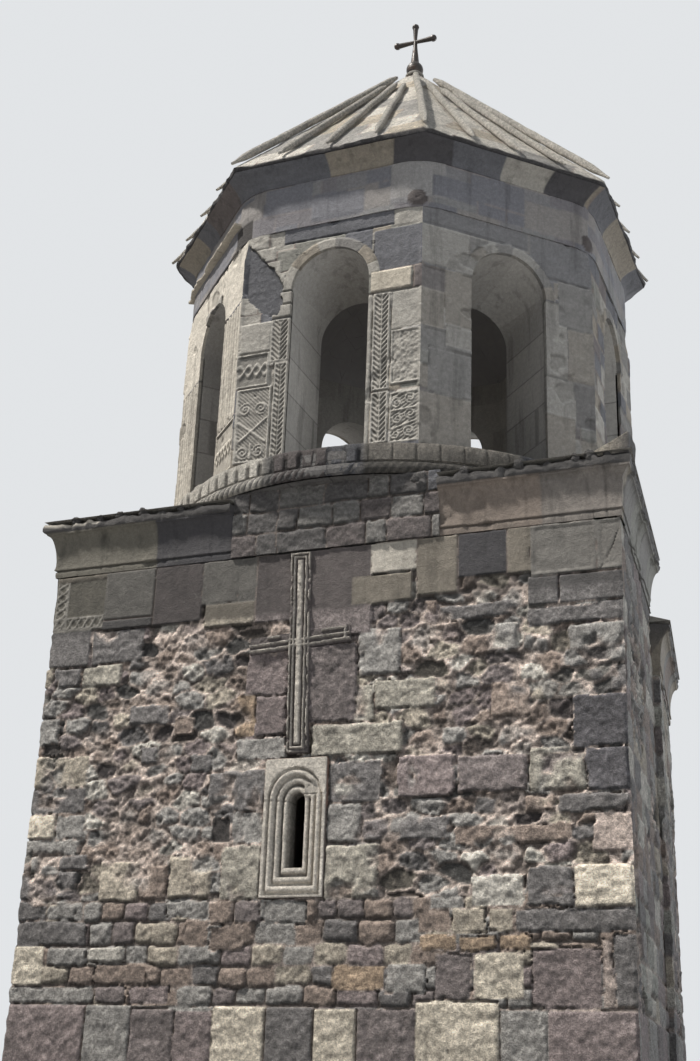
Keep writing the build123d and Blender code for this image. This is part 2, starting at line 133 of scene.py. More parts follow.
def sheet_rim(rows, cols):
    """Numbers of the rim points of a sheet, once round: along the first row, up, back and down."""
    return np.concatenate([np.arange(cols), np.arange(1, rows) * cols + cols - 1,
                           (rows - 1) * cols + np.arange(cols - 2, -1, -1),
                           np.arange(rows - 2, 0, -1) * cols])


def tubes(count, rows, cols):
    """Quads and end faces of equal tubes numbered one after the other, whose columns wrap round."""
    first = np.arange(count)[:, None] * rows * cols
    ends = first + np.arange(cols)
    quads = sheet_quads(rows, cols, True)[None] + first[..., None]
    return quads.reshape(-1, 4), [*ends[:, ::-1], *(ends + (rows - 1) * cols)]


def carried_profile(rows, cols):
    """Quads and end faces of a closed profile carried along a line, whose rows wrap round."""
    first = np.arange(rows) * cols
    return sheet_quads(rows, cols, False, True), [first[::-1], first + cols - 1]


def add_piece(name, points, quads, tone, finish, slot, replaces=(), caps=(), crease=60):
    """Make a mesh piece from arrays of points, quads and colours, and let it ride on the tower."""
    mesh = bpy.data.meshes.new(name)
    flat_points = points.reshape(-1, 3)
    mesh.from_pydata(flat_points.tolist(), [], quads.tolist() + [cap.tolist() for cap in caps])
    colours = np.ones((len(flat_points), 4))
    colours[:, :3] = tone.reshape(-1, 3)
    mesh.attributes.new("tone", "FLOAT_COLOR", "POINT").data.foreach_set("color", colours.ravel())
    mesh.polygons.foreach_set("use_smooth", np.ones(len(mesh.polygons), dtype=bool))
    mesh.set_sharp_from_angle(angle=math.radians(crease))
    mesh.materials.append(finish)
    piece = bpy.data.objects.new(name, mesh)
    bpy.context.scene.collection.objects.link(piece)
    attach(piece, "root")
    if replaces:
        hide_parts(*replaces)
    built[name] = 2 * len(quads) + sum(len(cap) - 2 for cap in caps)
    print(f"{name}: {built[name]} triangles")


def add_slab(name, points, back, tone, finish, slot, replaces=()):
    """A piece from a sheet of points and the rim of its back: front, sides and one back face."""
    rows, cols = points.shape[:2]
    rim = sheet_rim(rows, cols)
    behind = rows * cols + np.arange(len(rim))
    sides = np.stack([rim, behind, np.roll(behind, -1), np.roll(rim, -1)], axis=-1)
    flat_tone = tone.reshape(-1, 3)
    add_piece(name, np.concatenate([points.reshape(-1, 3), back.reshape(-1, 3)[rim]]),
              np.concatenate([sheet_quads(rows, cols), sides]), np.concatenate([flat_tone, flat_tone[rim]]),
              finish, slot, replaces, [behind[::-1]])

# %% [markdown]
# ## Noise and stones
#
# Old masonry has three scales: the layout of the stones, the shape of each stone, and its rough face.
# The layout is either courses, where a row is split at uneven lengths, or rubble, where every point
# belongs to the nearest of many scattered centres. Both give each point its distance from the nearest
# joint, and a rounded profile over that distance makes a worn stone. No random numbers are stored: the
# same place and the same seed, which is a plain whole number, always make the same noise.

# %% Noise on whole arrays
def hashed(first, second, seed):
    """A number from 0 to 1 for each pair of whole numbers: multiplied by large primes and folded."""
    mixed_bits = (np.asarray(first, dtype=np.int64) * 374761393
                  + np.asarray(second, dtype=np.int64) * 668265263 + seed * 974711) & 0xFFFFFFFF
    mixed_bits = ((mixed_bits ^ (mixed_bits >> 13)) * 1274126177) & 0xFFFFFFFF
    return ((mixed_bits ^ (mixed_bits >> 16)) & 0xFFFFFF) / 0xFFFFFF


def noise(across, up, size, seed, octaves=4):
    """Fractal noise from -1 to 1: octaves of smooth blends between the hashed corners of a lattice."""
    total = np.zeros(np.shape(across))
    weight = 0
    for octave in range(octaves):
        strength = 0.5 ** octave
        u, v = across / size / strength, up / size / strength
        i, j = np.floor(u), np.floor(v)
        fu, fv = smooth(u - i), smooth(v - j)
        low, high = (hashed(i, j + k, seed + octave) * (1 - fu) + hashed(i + 1, j + k, seed + octave) * fu
                     for k in (0, 1))
        total += strength * (2 * (low * (1 - fv) + high * fv) - 1)
        weight += strength
    return total / weight


def waves(across, up, *parts):
    """Noises added up: each part is a height, a size and a seed, and may end with its octaves."""
    return sum(height * noise(across, up, *part) for height, *part in parts)


def smooth(value):
    """0 below 0, 1 above 1 and an S-curve between."""
    value = np.clip(value, 0, 1)
    return value * value * (3 - 2 * value)


def between(value, low, high, soft_low, soft_high=None):
    """1 from low to high and 0 outside, with a soft step inwards from each."""
    return smooth((value - low) / soft_low) * smooth((high - value) / (soft_high or soft_low))


def rounded(distance, radius):
    """Quarter-round profile: 0 at the joint, 1 from the radius inwards."""
    return np.sqrt(1 - (1 - np.clip(distance / radius, 0, 1)) ** 2)


def half_round(distance, width):
    """A rounded ridge of the given half width: 1 on its line and 0 beside it."""
    return np.sqrt(np.maximum(0, 1 - (distance / width) ** 2))


def corner_distance(across, up, radius):
    """Distance from the edges of a block with rounded corners, cut off at the radius."""
    return radius - np.hypot(np.maximum(radius - across, 0), np.maximum(radius - up, 0))


def within(across, up, left, right, bottom, top, free=True):
    """The points inside a block, and their distances from its upright edges and from its beds."""
    inside = (across > left) & (across < right) & (up > bottom) & (up < top) & free
    return (inside, np.minimum(across - left, right - across)[inside],
            np.minimum(up - bottom, top - up)[inside])

# %% Stone tones and layouts
tones = {
    "cream": (0.42, 0.375, 0.305), "pale": (0.30, 0.282, 0.25), "grey": (0.165, 0.157, 0.146),
    "green": (0.185, 0.180, 0.158), "sage": (0.178, 0.167, 0.150), "dark": (0.092, 0.086, 0.083),
    "black": (0.055, 0.052, 0.055), "purple": (0.140, 0.115, 0.110), "plum": (0.108, 0.092, 0.088),
    "brown": (0.150, 0.118, 0.098), "tan": (0.225, 0.198, 0.160), "pink": (0.27, 0.222, 0.195),
    "ochre": (0.205, 0.152, 0.106), "window": (0.56, 0.515, 0.45), "bright": (0.50, 0.46, 0.395),
    "olive": (0.150, 0.138, 0.112), "cornice_brown": (0.208, 0.170, 0.141),
    "cornice_tan": (0.200, 0.178, 0.158), "slate": (0.104, 0.104, 0.113), "mortar": (0.34, 0.282, 0.245),
    # Holes get a near-black tone: painted shade.
    "hole": (0.030, 0.026, 0.024), "drum_grey": (0.300, 0.290, 0.278), "band_grey": (0.250, 0.248, 0.268),
    # The two tones of the slit's inner sides: the brown stone, reddish at the head, darkened as painted
    # shade.
    "reveal": (0.075, 0.052, 0.045), "reveal_head": (0.17, 0.080, 0.052),
}
tones = {name: np.array(value) for name, value in tones.items()}


def pick_tones(choice, names):
    """Colours for numbers from 0 to 1, taken evenly from the named tones."""
    table = np.stack([tones[name] for name in names])
    return table[np.clip((choice * len(names)).astype(int), 0, len(names) - 1)]


def mixed(first, second, share):
    """The first tone where the share is 0, the second where it is 1."""
    return first * (1 - share)[..., None] + second * share[..., None]


def laid_over(under, over, where):
    """Depth and tone of one masonry, with those of another where the mask is true."""
    return np.where(where, over[0], under[0]), np.where(where[..., None], over[1], under[1])


def course_of(up, edges):
    """The number of the course between the heights in edges, and the distance from its nearer bed joint."""
    edges = np.asarray(edges)
    row = np.clip(np.searchsorted(edges, up, side="right") - 1, 0, len(edges) - 2)
    return row, np.minimum(up - edges[row], edges[row + 1] - up)


def courses(across, up, edges, length, seed):
    """Courses between the heights in edges, split at uneven lengths.

    Each course has its own mean length and start, and its joints move by up to a third of the length.
    Returns the distances to the nearest upright joint and bed joint, and the numbers of course and stone.
    """
    row, above = course_of(up, edges)
    mean = length * (0.75 + 0.5 * hashed(row, 7, seed))
    start = hashed(row, 3, seed) * mean
    stone = np.floor((across + start) / mean)

    def joint(number):
        return (number + 0.6 * (hashed(number, row, seed + 1) - 0.5)) * mean - start

    stone = np.where(across < joint(stone), stone - 1, stone)
    stone = np.where(across >= joint(stone + 1), stone + 1, stone)
    return np.minimum(across - joint(stone), joint(stone + 1) - across), above, row, stone


def rubble(across, up, wide, tall, seed):
    """Scattered stones: every point belongs to the nearest centre, one centre jittered in each cell.

    Returns the distance to the joint, half of the nearest distance less than the second nearest, and
    two numbers that name the stone.
    """
    u, v = across / wide, up / tall
    nearest, second = np.full(u.shape, 9.0), np.full(u.shape, 9.0)
    name_i, name_j = np.zeros(u.shape), np.zeros(u.shape)
    for row_step in (-1, 0, 1):
        j = np.floor(v) + row_step
        shift = 0.5 * (j % 2)
        for col_step in (-1, 0, 1):
            i = np.floor(u - shift) + col_step
            centre_u = i + shift + 0.5 + 0.75 * (hashed(i, j, seed) - 0.5)
            centre_v = j + 0.5 + 0.7 * (hashed(i, j, seed + 1) - 0.5)
            distance = np.hypot(u - centre_u, v - centre_v)
            closer = distance < nearest
            second = np.where(closer, nearest, np.minimum(second, distance))
            name_i, name_j = np.where(closer, i, name_i), np.where(closer, j, name_j)
            nearest = np.where(closer, distance, nearest)
    return (second - nearest) / 2 * (wide + tall) / 2, name_i, name_j


def tilted(across, up, first, second, seed, amount):
    """A small tilt of each stone: a slope along and a slope up, both hashed from its name."""
    lean_along, lean_up = hashed(first, second, seed) - 0.5, hashed(second, first, seed) - 0.5
    return amount * (lean_along * np.sin(across * 9) + lean_up * np.sin(up * 9))

# %% [markdown]
# ## Finishes
#
# A small class lets node sockets be added and multiplied like numbers, so that each material reads as
# a formula. Every stone finish starts from a tone: the attribute that comes with the points, or one
# plain colour for a solid without it. Grain, pits and stains change the tone and the height alike,
# because a pit in real stone is both darker and lower.

# %% Sockets that work like numbers
class Wire:
    """An output of a node tree, which can be added, multiplied, compared and sent through any node."""

    def __init__(self, tree, socket):
        self.tree, self.socket = tree, socket

    def node(self, kind, inputs=(), output=0, **settings):
        """The output of a new node of any kind, with its settings and its named or numbered inputs."""
        made = self.tree.nodes.new(kind)
        for key, value in settings.items():
            setattr(made, key, value)
        for key, value in dict(inputs).items():
            if isinstance(value, Wire):
                self.tree.links.new(value.socket, made.inputs[key])
            else:
                made.inputs[key].default_value = value
        return Wire(self.tree, made.outputs[output])

    def combine(self, operation, *values):
        """The result of one maths node on this number and others."""
        return self.node("ShaderNodeMath", dict(enumerate((self, *values))), operation=operation)

    def __add__(self, other): return self.combine("ADD", other)
    def __radd__(self, other): return self.combine("ADD", other)
    def __mul__(self, other): return self.combine("MULTIPLY", other)
    def __sub__(self, other): return self.combine("SUBTRACT", other)
    def __rsub__(self, other): return (self * -1) + other

    def between(self, low, high):
        """0 at low, 1 at high, with a smooth step between."""
        return self.node("ShaderNodeMapRange", {"Value": self, "From Min": low, "From Max": high},
                         interpolation_type="SMOOTHSTEP")

    def toward(self, other, amount, blend="MIX"):
        """This colour mixed with another by an amount."""
        return self.node("ShaderNodeMix", {0: amount, 6: self, 7: other}, 2, data_type="RGBA",
                         blend_type=blend)

    def shaded(self, amount):
        """This colour times a number."""
        grey = self.node("ShaderNodeCombineColor", {0: amount, 1: amount, 2: amount})
        return self.toward(grey, 1.0, "MULTIPLY")

    def plain(self, values):
        """One plain colour in the same tree."""
        made = self.node("ShaderNodeRGB")
        made.socket.default_value = colour(values)
        return made

    def parts(self):
        """The x, y and z of this place."""
        made = self.node("ShaderNodeSeparateXYZ", {0: self})
        return [Wire(self.tree, output) for output in made.socket.node.outputs]


def colour(values):
    """Red, green and blue with full opacity."""
    return (*[float(value) for value in values], 1.0)


def new_finish(name):
    """An empty material: its place in the object as a wire, and a function that closes it with a shader."""
    material = bpy.data.materials.new(name)
    material.use_nodes = True
    tree = material.node_tree
    tree.nodes.clear()
    place = Wire(tree, tree.nodes.new("ShaderNodeTexCoord").outputs["Object"])

    def close(base, roughness, height, distance, metallic=0.0):
        bump = place.node("ShaderNodeBump", {"Height": height, "Distance": distance, "Strength": 1.0})
        shader = place.node("ShaderNodeBsdfPrincipled", {"Base Color": base, "Roughness": roughness,
                                                         "Metallic": metallic, "Normal": bump})
        output = tree.nodes.new("ShaderNodeOutputMaterial")
        tree.links.new(shader.socket, output.inputs["Surface"])
        return material

    return place, close


def grain(place, scale, detail=4.0, rough=0.6):
    """Noise from 0 to 1, with the given number of grains in a metre."""
    return place.node("ShaderNodeTexNoise", {"Vector": place, "Scale": scale, "Detail": detail,
                                             "Roughness": rough})


def laid_stones(place, course, length, radius, top=99.0):
    """Courses round a drum: a shade for each stone, and a line along the joints.

    The height over the course tells the row and the angle round the axis tells the stone; their whole
    parts name the stone, and their fractions tell how near the joint is.
    """
    x, y, z = place.parts()
    rows = z * (1 / course)
    row = rows.combine("FLOOR")
    stones = y.combine("ARCTAN2", x) * (radius / length) + row * 0.37
    name = place.node("ShaderNodeCombineXYZ", {0: stones.combine("FLOOR"), 1: row})
    shade = place.node("ShaderNodeTexWhiteNoise", {"Vector": name}, output="Value")
    across, above = ((count.combine("FRACT") - 0.5).combine("ABSOLUTE") * size
                     for count, size in ((stones, length), (rows, course)))
    joint = across.between(length / 2 - 0.014, length / 2 - 0.004)
    joint = joint.combine("MAXIMUM", above.between(course / 2 - 0.014, course / 2 - 0.004))
    return shade, joint * z.between(top + 0.02, top - 0.02)


def stone_finish(name, plain=None, spread=0.35, pitted=0.5, bump=0.006, stain=0.3, laid=None, dressed=None):
    """Weathered stone: a tone with grain at three sizes, dark pits, pale lichen and long stains.

    The tone is the points' own, or plain where the solid has none. The pits are the hollow cells of a
    Voronoi pattern broken up by noise, and they lower the surface as they darken it. Over the height
    called dressed the stones are smooth.
    """
    place, close = new_finish(name)
    tone = (place.plain(plain) if plain
            else place.node("ShaderNodeAttribute", attribute_name="tone", output="Color"))
    broad, middle, fine = grain(place, 2.3), grain(place, 24.0, 5.0, 0.7), grain(place, 80.0, 5.0, 0.7)
    cells = place.node("ShaderNodeTexVoronoi", {"Vector": place, "Scale": 46.0, "Randomness": 1.0})
    pits = cells.between(0.30, 0.08) * middle.between(0.42, 0.62) * pitted
    streaks = grain(place.node("ShaderNodeMapping", {"Vector": place, "Scale": (7.0, 7.0, 0.7)}), 1.0)
    lichen = grain(place, 6.5, 6.0, 0.75).between(0.60, 0.70) * fine.between(0.40, 0.60)
    lumps, grit = middle.between(0.36, 0.66), fine.between(0.36, 0.66)
    rough = spread
    if dressed:
        smoothed = place.parts()[2].between(dressed + 0.03, dressed - 0.03) * 0.72 + 0.28
        rough, pits = smoothed * spread, pits * smoothed
    level = (broad * 0.4 + lumps * 0.55 + grit * 0.35 - 0.55) * rough + 1.0
    level = level * (1.0 - pits * 0.55) * (1.0 - streaks.between(0.52, 0.70) * stain)
    base = tone.shaded(level).toward(colour((0.34, 0.34, 0.29)), lichen * 0.22)
    height = (lumps * 0.6 + grit * 0.3) * rough * (1.0 / spread) - pits * 0.9
    if laid:
        shade, joint = laid_stones(place, *laid)
        base = base.shaded((shade * 0.24 + 0.88) * (1.0 - joint * 0.35))
        height = height - joint * 0.8
    return close(base, fine * 0.15 + 0.82, height, bump)


def metal_finish(name):
    """Dark painted iron: brown-black, with rust where the noise is high and dull, uneven gloss."""
    place, close = new_finish(name)
    middle, fine = grain(place, 9.0), grain(place, 120.0, 5.0, 0.7)
    rust = middle.between(0.52, 0.70) * fine.between(0.35, 0.60)
    dark = place.plain((0.030, 0.024, 0.021))
    base = dark.toward(colour((0.11, 0.055, 0.030)), rust * 0.7).shaded(fine * 0.5 + 0.75)
    return close(base, rust * 0.35 + 0.42, fine * 0.5 + rust * 0.6, 0.0015, metallic=0.35)


def plaster_finish(name, plain, bump=0.008):
    """Lime plaster on stone: a plain tone with soft hollows, hairline cracks and damp patches."""
    place, close = new_finish(name)
    tone = place.plain(plain)
    broad, middle, fine = grain(place, 1.4), grain(place, 10.0), grain(place, 70.0, 5.0, 0.7)
    edges = place.node("ShaderNodeTexVoronoi", {"Vector": place, "Scale": 3.0}, feature="DISTANCE_TO_EDGE")
    cracks = edges.between(0.014, 0.002) * middle.between(0.45, 0.60)
    level = 0.62 + broad * 0.35 + middle * 0.25 + fine * 0.12 - cracks * 0.3
    return close(tone.shaded(level), fine * 0.1 + 0.86, middle * 0.7 + fine * 0.3 - cracks * 0.8, bump)


dressed_from = 5.04
carved_stone = stone_finish("dressed_stone", spread=0.45, bump=0.007)
rough_stone = stone_finish("rough_stone", spread=1.1, pitted=0.9, bump=0.036, stain=0.2)
facing_stone = stone_finish("facing_stone", spread=1.35, pitted=0.9, bump=0.036, stain=0.2,
                            dressed=dressed_from)
worn_carving = stone_finish("worn_carving", spread=0.9, pitted=0.8, bump=0.016, stain=0.15)
print("finishes ready:", carved_stone.name, rough_stone.name, facing_stone.name, worn_carving.name)

# %% [markdown]
# ## Facing stones of the front
#
# The facade is the mason's work and the restorer's: large blocks in the lowest course, small rounded
# stones over them, quoins at the corners, dark slabs beside the cross and dressed blocks under the
# cornice. Between them the facing is lost and the rubble core shows with its pinkish mortar. The
# blocks are a list of places and tones; the core is the scattered layout. Depth is measured from the
# facade plane, and it is negative into the wall.

# %% The mason's list: tone, left, right, bottom, top
front_blocks = [
    ("tan", -1.28, -0.69, 4.96, 5.21), ("plum", -1.91, -1.33, 5.04, 5.71),
    ("green", -2.53, -1.91, 5.15, 5.71), ("green", -1.33, -0.90, 5.21, 5.71),
    ("dark", -2.53, -1.91, 5.04, 5.15), ("plum", -0.69, -0.26, 4.95, 5.71),
    ("interlace", -3.30, -2.53, 5.06, 5.64), ("tan", -3.30, -2.53, 5.64, 5.71),
    ("green", -0.90, -0.69, 5.21, 5.71), ("dark", -3.30, -2.66, 4.65, 5.06),
    ("dark", -2.63, -1.99, 4.65, 5.04), ("tan", -3.30, -3.09, 4.42, 4.65),
    ("dark", -3.08, -2.74, 4.42, 4.64), ("green", -2.72, -2.25, 4.40, 4.64),
    ("purple", -0.74, -0.27, 4.17, 4.68), ("purple", -0.62, -0.27, 3.75, 4.17),
    ("ochre", -0.86, -0.62, 3.76, 4.17), ("grey", -0.82, -0.27, 3.50, 3.73),
    ("dark", -1.08, -0.46, 3.00, 3.40), ("grey", -0.80, -0.46, 2.67, 2.99),
    ("hole", -1.03, -0.83, 2.70, 2.95), ("tan", -3.30, -2.98, 3.33, 3.67),
    ("tan", -2.97, -2.54, 3.32, 3.65), ("dark", -3.30, -2.53, 3.05, 3.31),
    ("cream", -3.30, -2.86, 2.79, 3.04), ("grey", -2.85, -2.52, 2.79, 3.03),
    ("grey", -3.30, -2.56, 2.63, 2.78), ("grey", -3.30, -2.77, 2.46, 2.62),
    ("dark", -2.76, -2.42, 2.46, 2.62), ("dark", -3.30, -2.55, 2.17, 2.45),
    ("dark", -3.30, -2.84, 1.96, 2.16), ("grey", -2.83, -2.50, 1.96, 2.16),
    ("dark", -3.30, -2.36, 1.72, 1.95), ("cream", -3.30, -2.83, 1.33, 1.71),
    ("grey", -2.79, -2.34, 1.52, 1.71), ("pale", -2.31, -1.89, 1.54, 1.71),
    ("brown", -2.51, -2.23, 1.34, 1.52), ("brown", -2.21, -1.63, 1.33, 1.53),
    ("grey", -3.30, -2.22, 1.16, 1.32), ("plum", -2.20, -1.85, 1.16, 1.32),
    ("purple", -1.82, -1.37, 1.15, 1.32), ("tan", -2.27, -1.83, 2.15, 2.53),
    ("brown", -1.81, -1.49, 2.15, 2.49), ("tan", -1.47, -1.00, 2.15, 2.56),
    ("green", -0.90, -0.46, 2.13, 2.66), ("dark", -2.10, -1.62, 3.95, 4.16),
    ("brown", -1.55, -1.32, 3.82, 4.01), ("dark", -1.92, -1.73, 3.53, 3.72),
    ("dark", -1.33, -1.08, 3.40, 3.60), ("dark", -3.30, -3.05, 4.10, 4.40),
    ("grey", -3.30, -2.95, 3.78, 4.08), ("hole", -3.14, -2.90, 3.69, 3.80),
    ("purple", -3.30, -2.28, 0.55, 1.15), ("grey", -2.28, -1.77, 0.55, 1.15),
    ("plum", -1.77, -1.29, 0.55, 1.12), ("purple", -1.29, -0.88, 0.55, 1.10),
    ("cream", -0.88, -0.33, 0.55, 1.15), ("dark", -0.33, 0.16, 0.55, 1.15),
    ("cream", 0.16, 0.59, 0.55, 1.14), ("plum", 0.59, 1.16, 0.55, 1.14), ("cream", 1.16, 1.94, 0.55, 1.21),
    ("grey", 1.94, 2.38, 0.55, 1.14), ("purple", 2.38, 3.30, 0.55, 1.14), ("green", 0.21, 0.76, 2.12, 2.63),
    ("grey", 0.21, 0.57, 2.65, 3.03), ("dark", 0.21, 0.77, 3.04, 3.44), ("green", 0.02, 0.98, 3.50, 3.82),
    ("green", 0.36, 0.66, 3.84, 4.21), ("plum", -0.07, 0.48, 3.84, 4.66), ("grey", 0.49, 0.94, 4.30, 4.80),
    ("plum", -0.10, 0.62, 4.74, 5.71), ("tan", 0.40, 1.05, 5.05, 5.36), ("bright", 0.60, 1.09, 5.37, 5.71),
    ("tan", 1.10, 1.53, 5.08, 5.71), ("black", 1.53, 2.04, 5.24, 5.71), ("tan", 2.04, 2.28, 5.22, 5.71),
    ("panel", 2.28, 2.94, 5.17, 5.71), ("panel", 2.94, 3.30, 5.17, 5.71), ("dark", 2.25, 2.55, 4.88, 5.17),
    ("dark", 2.56, 3.30, 4.87, 5.16), ("dark", 2.24, 3.30, 4.67, 4.86), ("dark", 1.33, 2.19, 4.80, 4.95),
    ("brown", 1.08, 1.31, 4.88, 5.03), ("grey", 1.83, 2.15, 4.44, 4.72), ("brown", 1.24, 1.53, 4.60, 4.78),
    ("grey", 2.64, 3.30, 4.25, 4.65), ("dark", 2.78, 3.30, 3.97, 4.22), ("brown", 1.87, 2.25, 3.79, 4.14),
    ("tan", 2.26, 2.76, 3.94, 4.20), ("black", 2.66, 3.30, 3.45, 3.95), ("black", 2.78, 3.30, 3.05, 3.44),
    ("green", 2.24, 2.77, 3.07, 3.47), ("purple", 0.94, 1.50, 3.07, 3.46), ("plum", 1.54, 2.22, 3.08, 3.43),
    ("green", 0.68, 1.32, 3.94, 4.24), ("dark", 2.50, 3.30, 2.86, 3.03), ("dark", 0.59, 1.46, 2.65, 2.87),
    ("brown", 1.52, 2.64, 2.60, 2.77), ("brown", 2.21, 2.47, 2.88, 3.03), ("pink", 2.83, 3.30, 2.50, 2.85),
    ("pale", 1.68, 2.18, 2.03, 2.32), ("dark", 2.21, 2.63, 2.02, 2.38), ("cream", 2.65, 3.30, 2.01, 2.38),
    ("dark", 2.10, 3.30, 1.80, 2.00), ("tan", 1.50, 1.82, 1.79, 2.02), ("tan", 1.85, 2.08, 1.80, 2.01),
    ("brown", 1.18, 1.48, 1.81, 2.01), ("ochre", 1.20, 1.54, 1.65, 1.79), ("ochre", 1.57, 1.92, 1.64, 1.77),
    ("ochre", 1.95, 2.24, 1.64, 1.78), ("plum", 1.33, 1.68, 1.22, 1.62), ("cream", 1.71, 2.17, 1.23, 1.62),
    ("purple", 2.24, 2.86, 1.16, 1.66), ("dark", 2.98, 3.30, 1.16, 1.78), ("pink", 2.87, 2.97, 1.16, 1.74),
    ("ochre", 0.33, 0.85, 1.30, 1.51), ("grey", 0.87, 1.26, 1.27, 1.53),
    ("brown", -0.98, -0.74, 1.90, 2.11), ("plum", -0.72, -0.43, 1.91, 2.12),
    ("grey", -0.40, 0.04, 1.90, 2.11), ("grey", -1.47, -1.02, 1.97, 2.13),
    ("brown", -1.24, -0.99, 1.71, 1.95), ("brown", -0.96, -0.60, 1.67, 1.88),
]
print(len(front_blocks), "blocks placed one by one")

foot_bed, foot_top, courses_top = 0.55, 1.15, 2.14
foot_tones = ["purple", "grey", "plum", "cream", "dark", "grey"]
course_tones = ["brown", "grey", "plum", "tan", "brown", "dark", "brown", "grey", "purple"]
core_tones = ["dark", "grey", "plum", "brown", "grey", "tan", "brown", "grey", "pale", "purple"]

# %% Depth and tone of the front
def painted_hollow_shade(depth, tone):
    """The tone darkened in the hollows as painted shade: from 25 mm deep, and most at 70 mm."""
    return tone * (0.20 + 0.80 * smooth((depth + 0.070) / 0.045))[..., None]


def painted_slope_light(depth, tone, step):
    """The tone with painted light on the tops that face up and painted shade on the undersides, from the
    slope of the depth with height.
    """
    slope = np.gradient(depth, axis=0) / step
    return tone * (1.05 - 0.74 * np.tanh(1.6 * slope))[..., None]


def core_stones(across, up, seed, wide=0.30, tall=0.17):
    """Broken rubble core: lumps of uneven size, some lost, half buried in smeared pinkish mortar."""
    distance, i, j = rubble(across + 0.075 * noise(across, up, 0.30, seed + 5),
                            up + 0.060 * noise(across, up, 0.22, seed + 9), wide, tall, seed)
    lost = hashed(i, j, seed + 4) > 0.86
    face = -0.018 - 0.034 * hashed(i, j, seed + 2) + 0.020 * noise(across, up, 0.11, seed + 3)
    face = np.where(lost, -0.062 + 0.012 * noise(across, up, 0.07, seed + 14), face)
    bed = -0.044 + 0.036 * noise(across, up, 0.20, seed + 6)
    smear = smooth(1.8 * noise(across, up, 0.42, seed + 8, 3) + 0.45)
    t = rounded(distance - 0.006 - 0.034 * smear * hashed(i, j, seed + 11), 0.042)
    t = t * np.where(lost, 1, 1 - 0.55 * smear * (hashed(j, i, seed + 12) > 0.45))
    depth = bed * (1 - t) + face * t
    depth = depth + waves(across, up, (0.020, 0.060, seed + 13, 3), (0.010, 0.034, seed + 15, 1))
    # Lost stones leave holes, and their tone is halved there as painted shade.
    stone = pick_tones(hashed(i, j, seed + 7), core_tones) * np.where(lost, 0.5, 1.0)[..., None]
    smeared = (1 + 0.30 * noise(across, up, 0.10, seed + 10)) * (0.75 + 0.25 * smear)
    return depth, mixed(tones["mortar"] * smeared[..., None], stone, smooth(t * 1.3))


def small_courses(across, up, edges, length, seed, names, round_off=0.045, joint=0.05):
    """Small rounded stones in wavering courses, with the joints raked out."""
    rough = round_off / 0.045
    u = across + rough * waves(across, up, (0.034, 0.26, seed + 5), (0.012, 0.07, seed + 8))
    v = up + rough * waves(across, up, (0.040, 0.34, seed + 6), (0.014, 0.09, seed + 9))
    beside, above, row, stone = courses(u, v, edges, length, seed)
    t = rounded(corner_distance(beside - 0.006, above - 0.005, round_off), round_off)
    face = -0.004 - 0.022 * hashed(stone, row, seed + 2) + tilted(across, up, stone, row, seed + 3, 0.010)
    face = face + (0.002 + 0.015 * rough) * noise(across, up, 0.06, seed + 4)
    raked = joint * (1 - 0.6 * rough * smooth(1.6 * noise(across, up, 0.40, seed + 10, 3) + 0.3))
    tone = pick_tones(hashed(stone, row, seed + 7), names)
    return face * t - raked * (1 - t), mixed(0.55 * tones["mortar"], tone, smooth(t * 2))


def foot_stones(across, up, length, seed):
    """Large blocks with close joints in the two lowest courses."""
    return small_courses(across, up, [-0.02, foot_bed, foot_top], length, seed, foot_tones, 0.018, 0.03)


def knotwork(across, up, pitch, width):
    """Two strands that cross in turns: the height of each is a half-round over its own wave."""
    wave = 0.32 * pitch * np.sin(2 * np.pi * across / pitch)
    over = 0.25 * np.sin(2 * np.pi * across / pitch + np.pi / 2)
    return np.maximum(half_round(up - wave, width) * (0.75 + over),
                      half_round(up + wave, width) * (0.75 - over))


def interlace(across, up, left, bottom):
    """Knotwork between plain lines: one band over the foot of the block and one beside its left edge."""
    foot_band, side_band = up - bottom - 0.085, across - left - 0.22
    strand = np.maximum(knotwork(across, foot_band, 0.19, 0.022) * (np.abs(foot_band) < 0.065),
                        knotwork(up, side_band, 0.19, 0.022) * (np.abs(side_band) < 0.065))
    for line in (foot_band + 0.067, foot_band - 0.07, side_band + 0.075, side_band - 0.075):
        strand = np.maximum(strand, 0.8 * half_round(line, 0.015))
    return strand


def plain_block_tone(name, top):
    """Tone of an uncarved block: green ones are greyer, holes near black as painted shade, cream ones and the
    reddish upper ones darker.
    """
    if name == "green":
        return tones["sage"] if top > 5 else 0.5 * tones["green"] + 0.46 * tones["tan"]
    if name == "hole":
        return 1.4 * tones["hole"]
    return tones[name] * (0.84 if name == "cream" else 0.80 if 4.1 < top < 4.7 and name[0] == "p" else 1.0)


low_tops, upper_tops = 1.25, 5.05


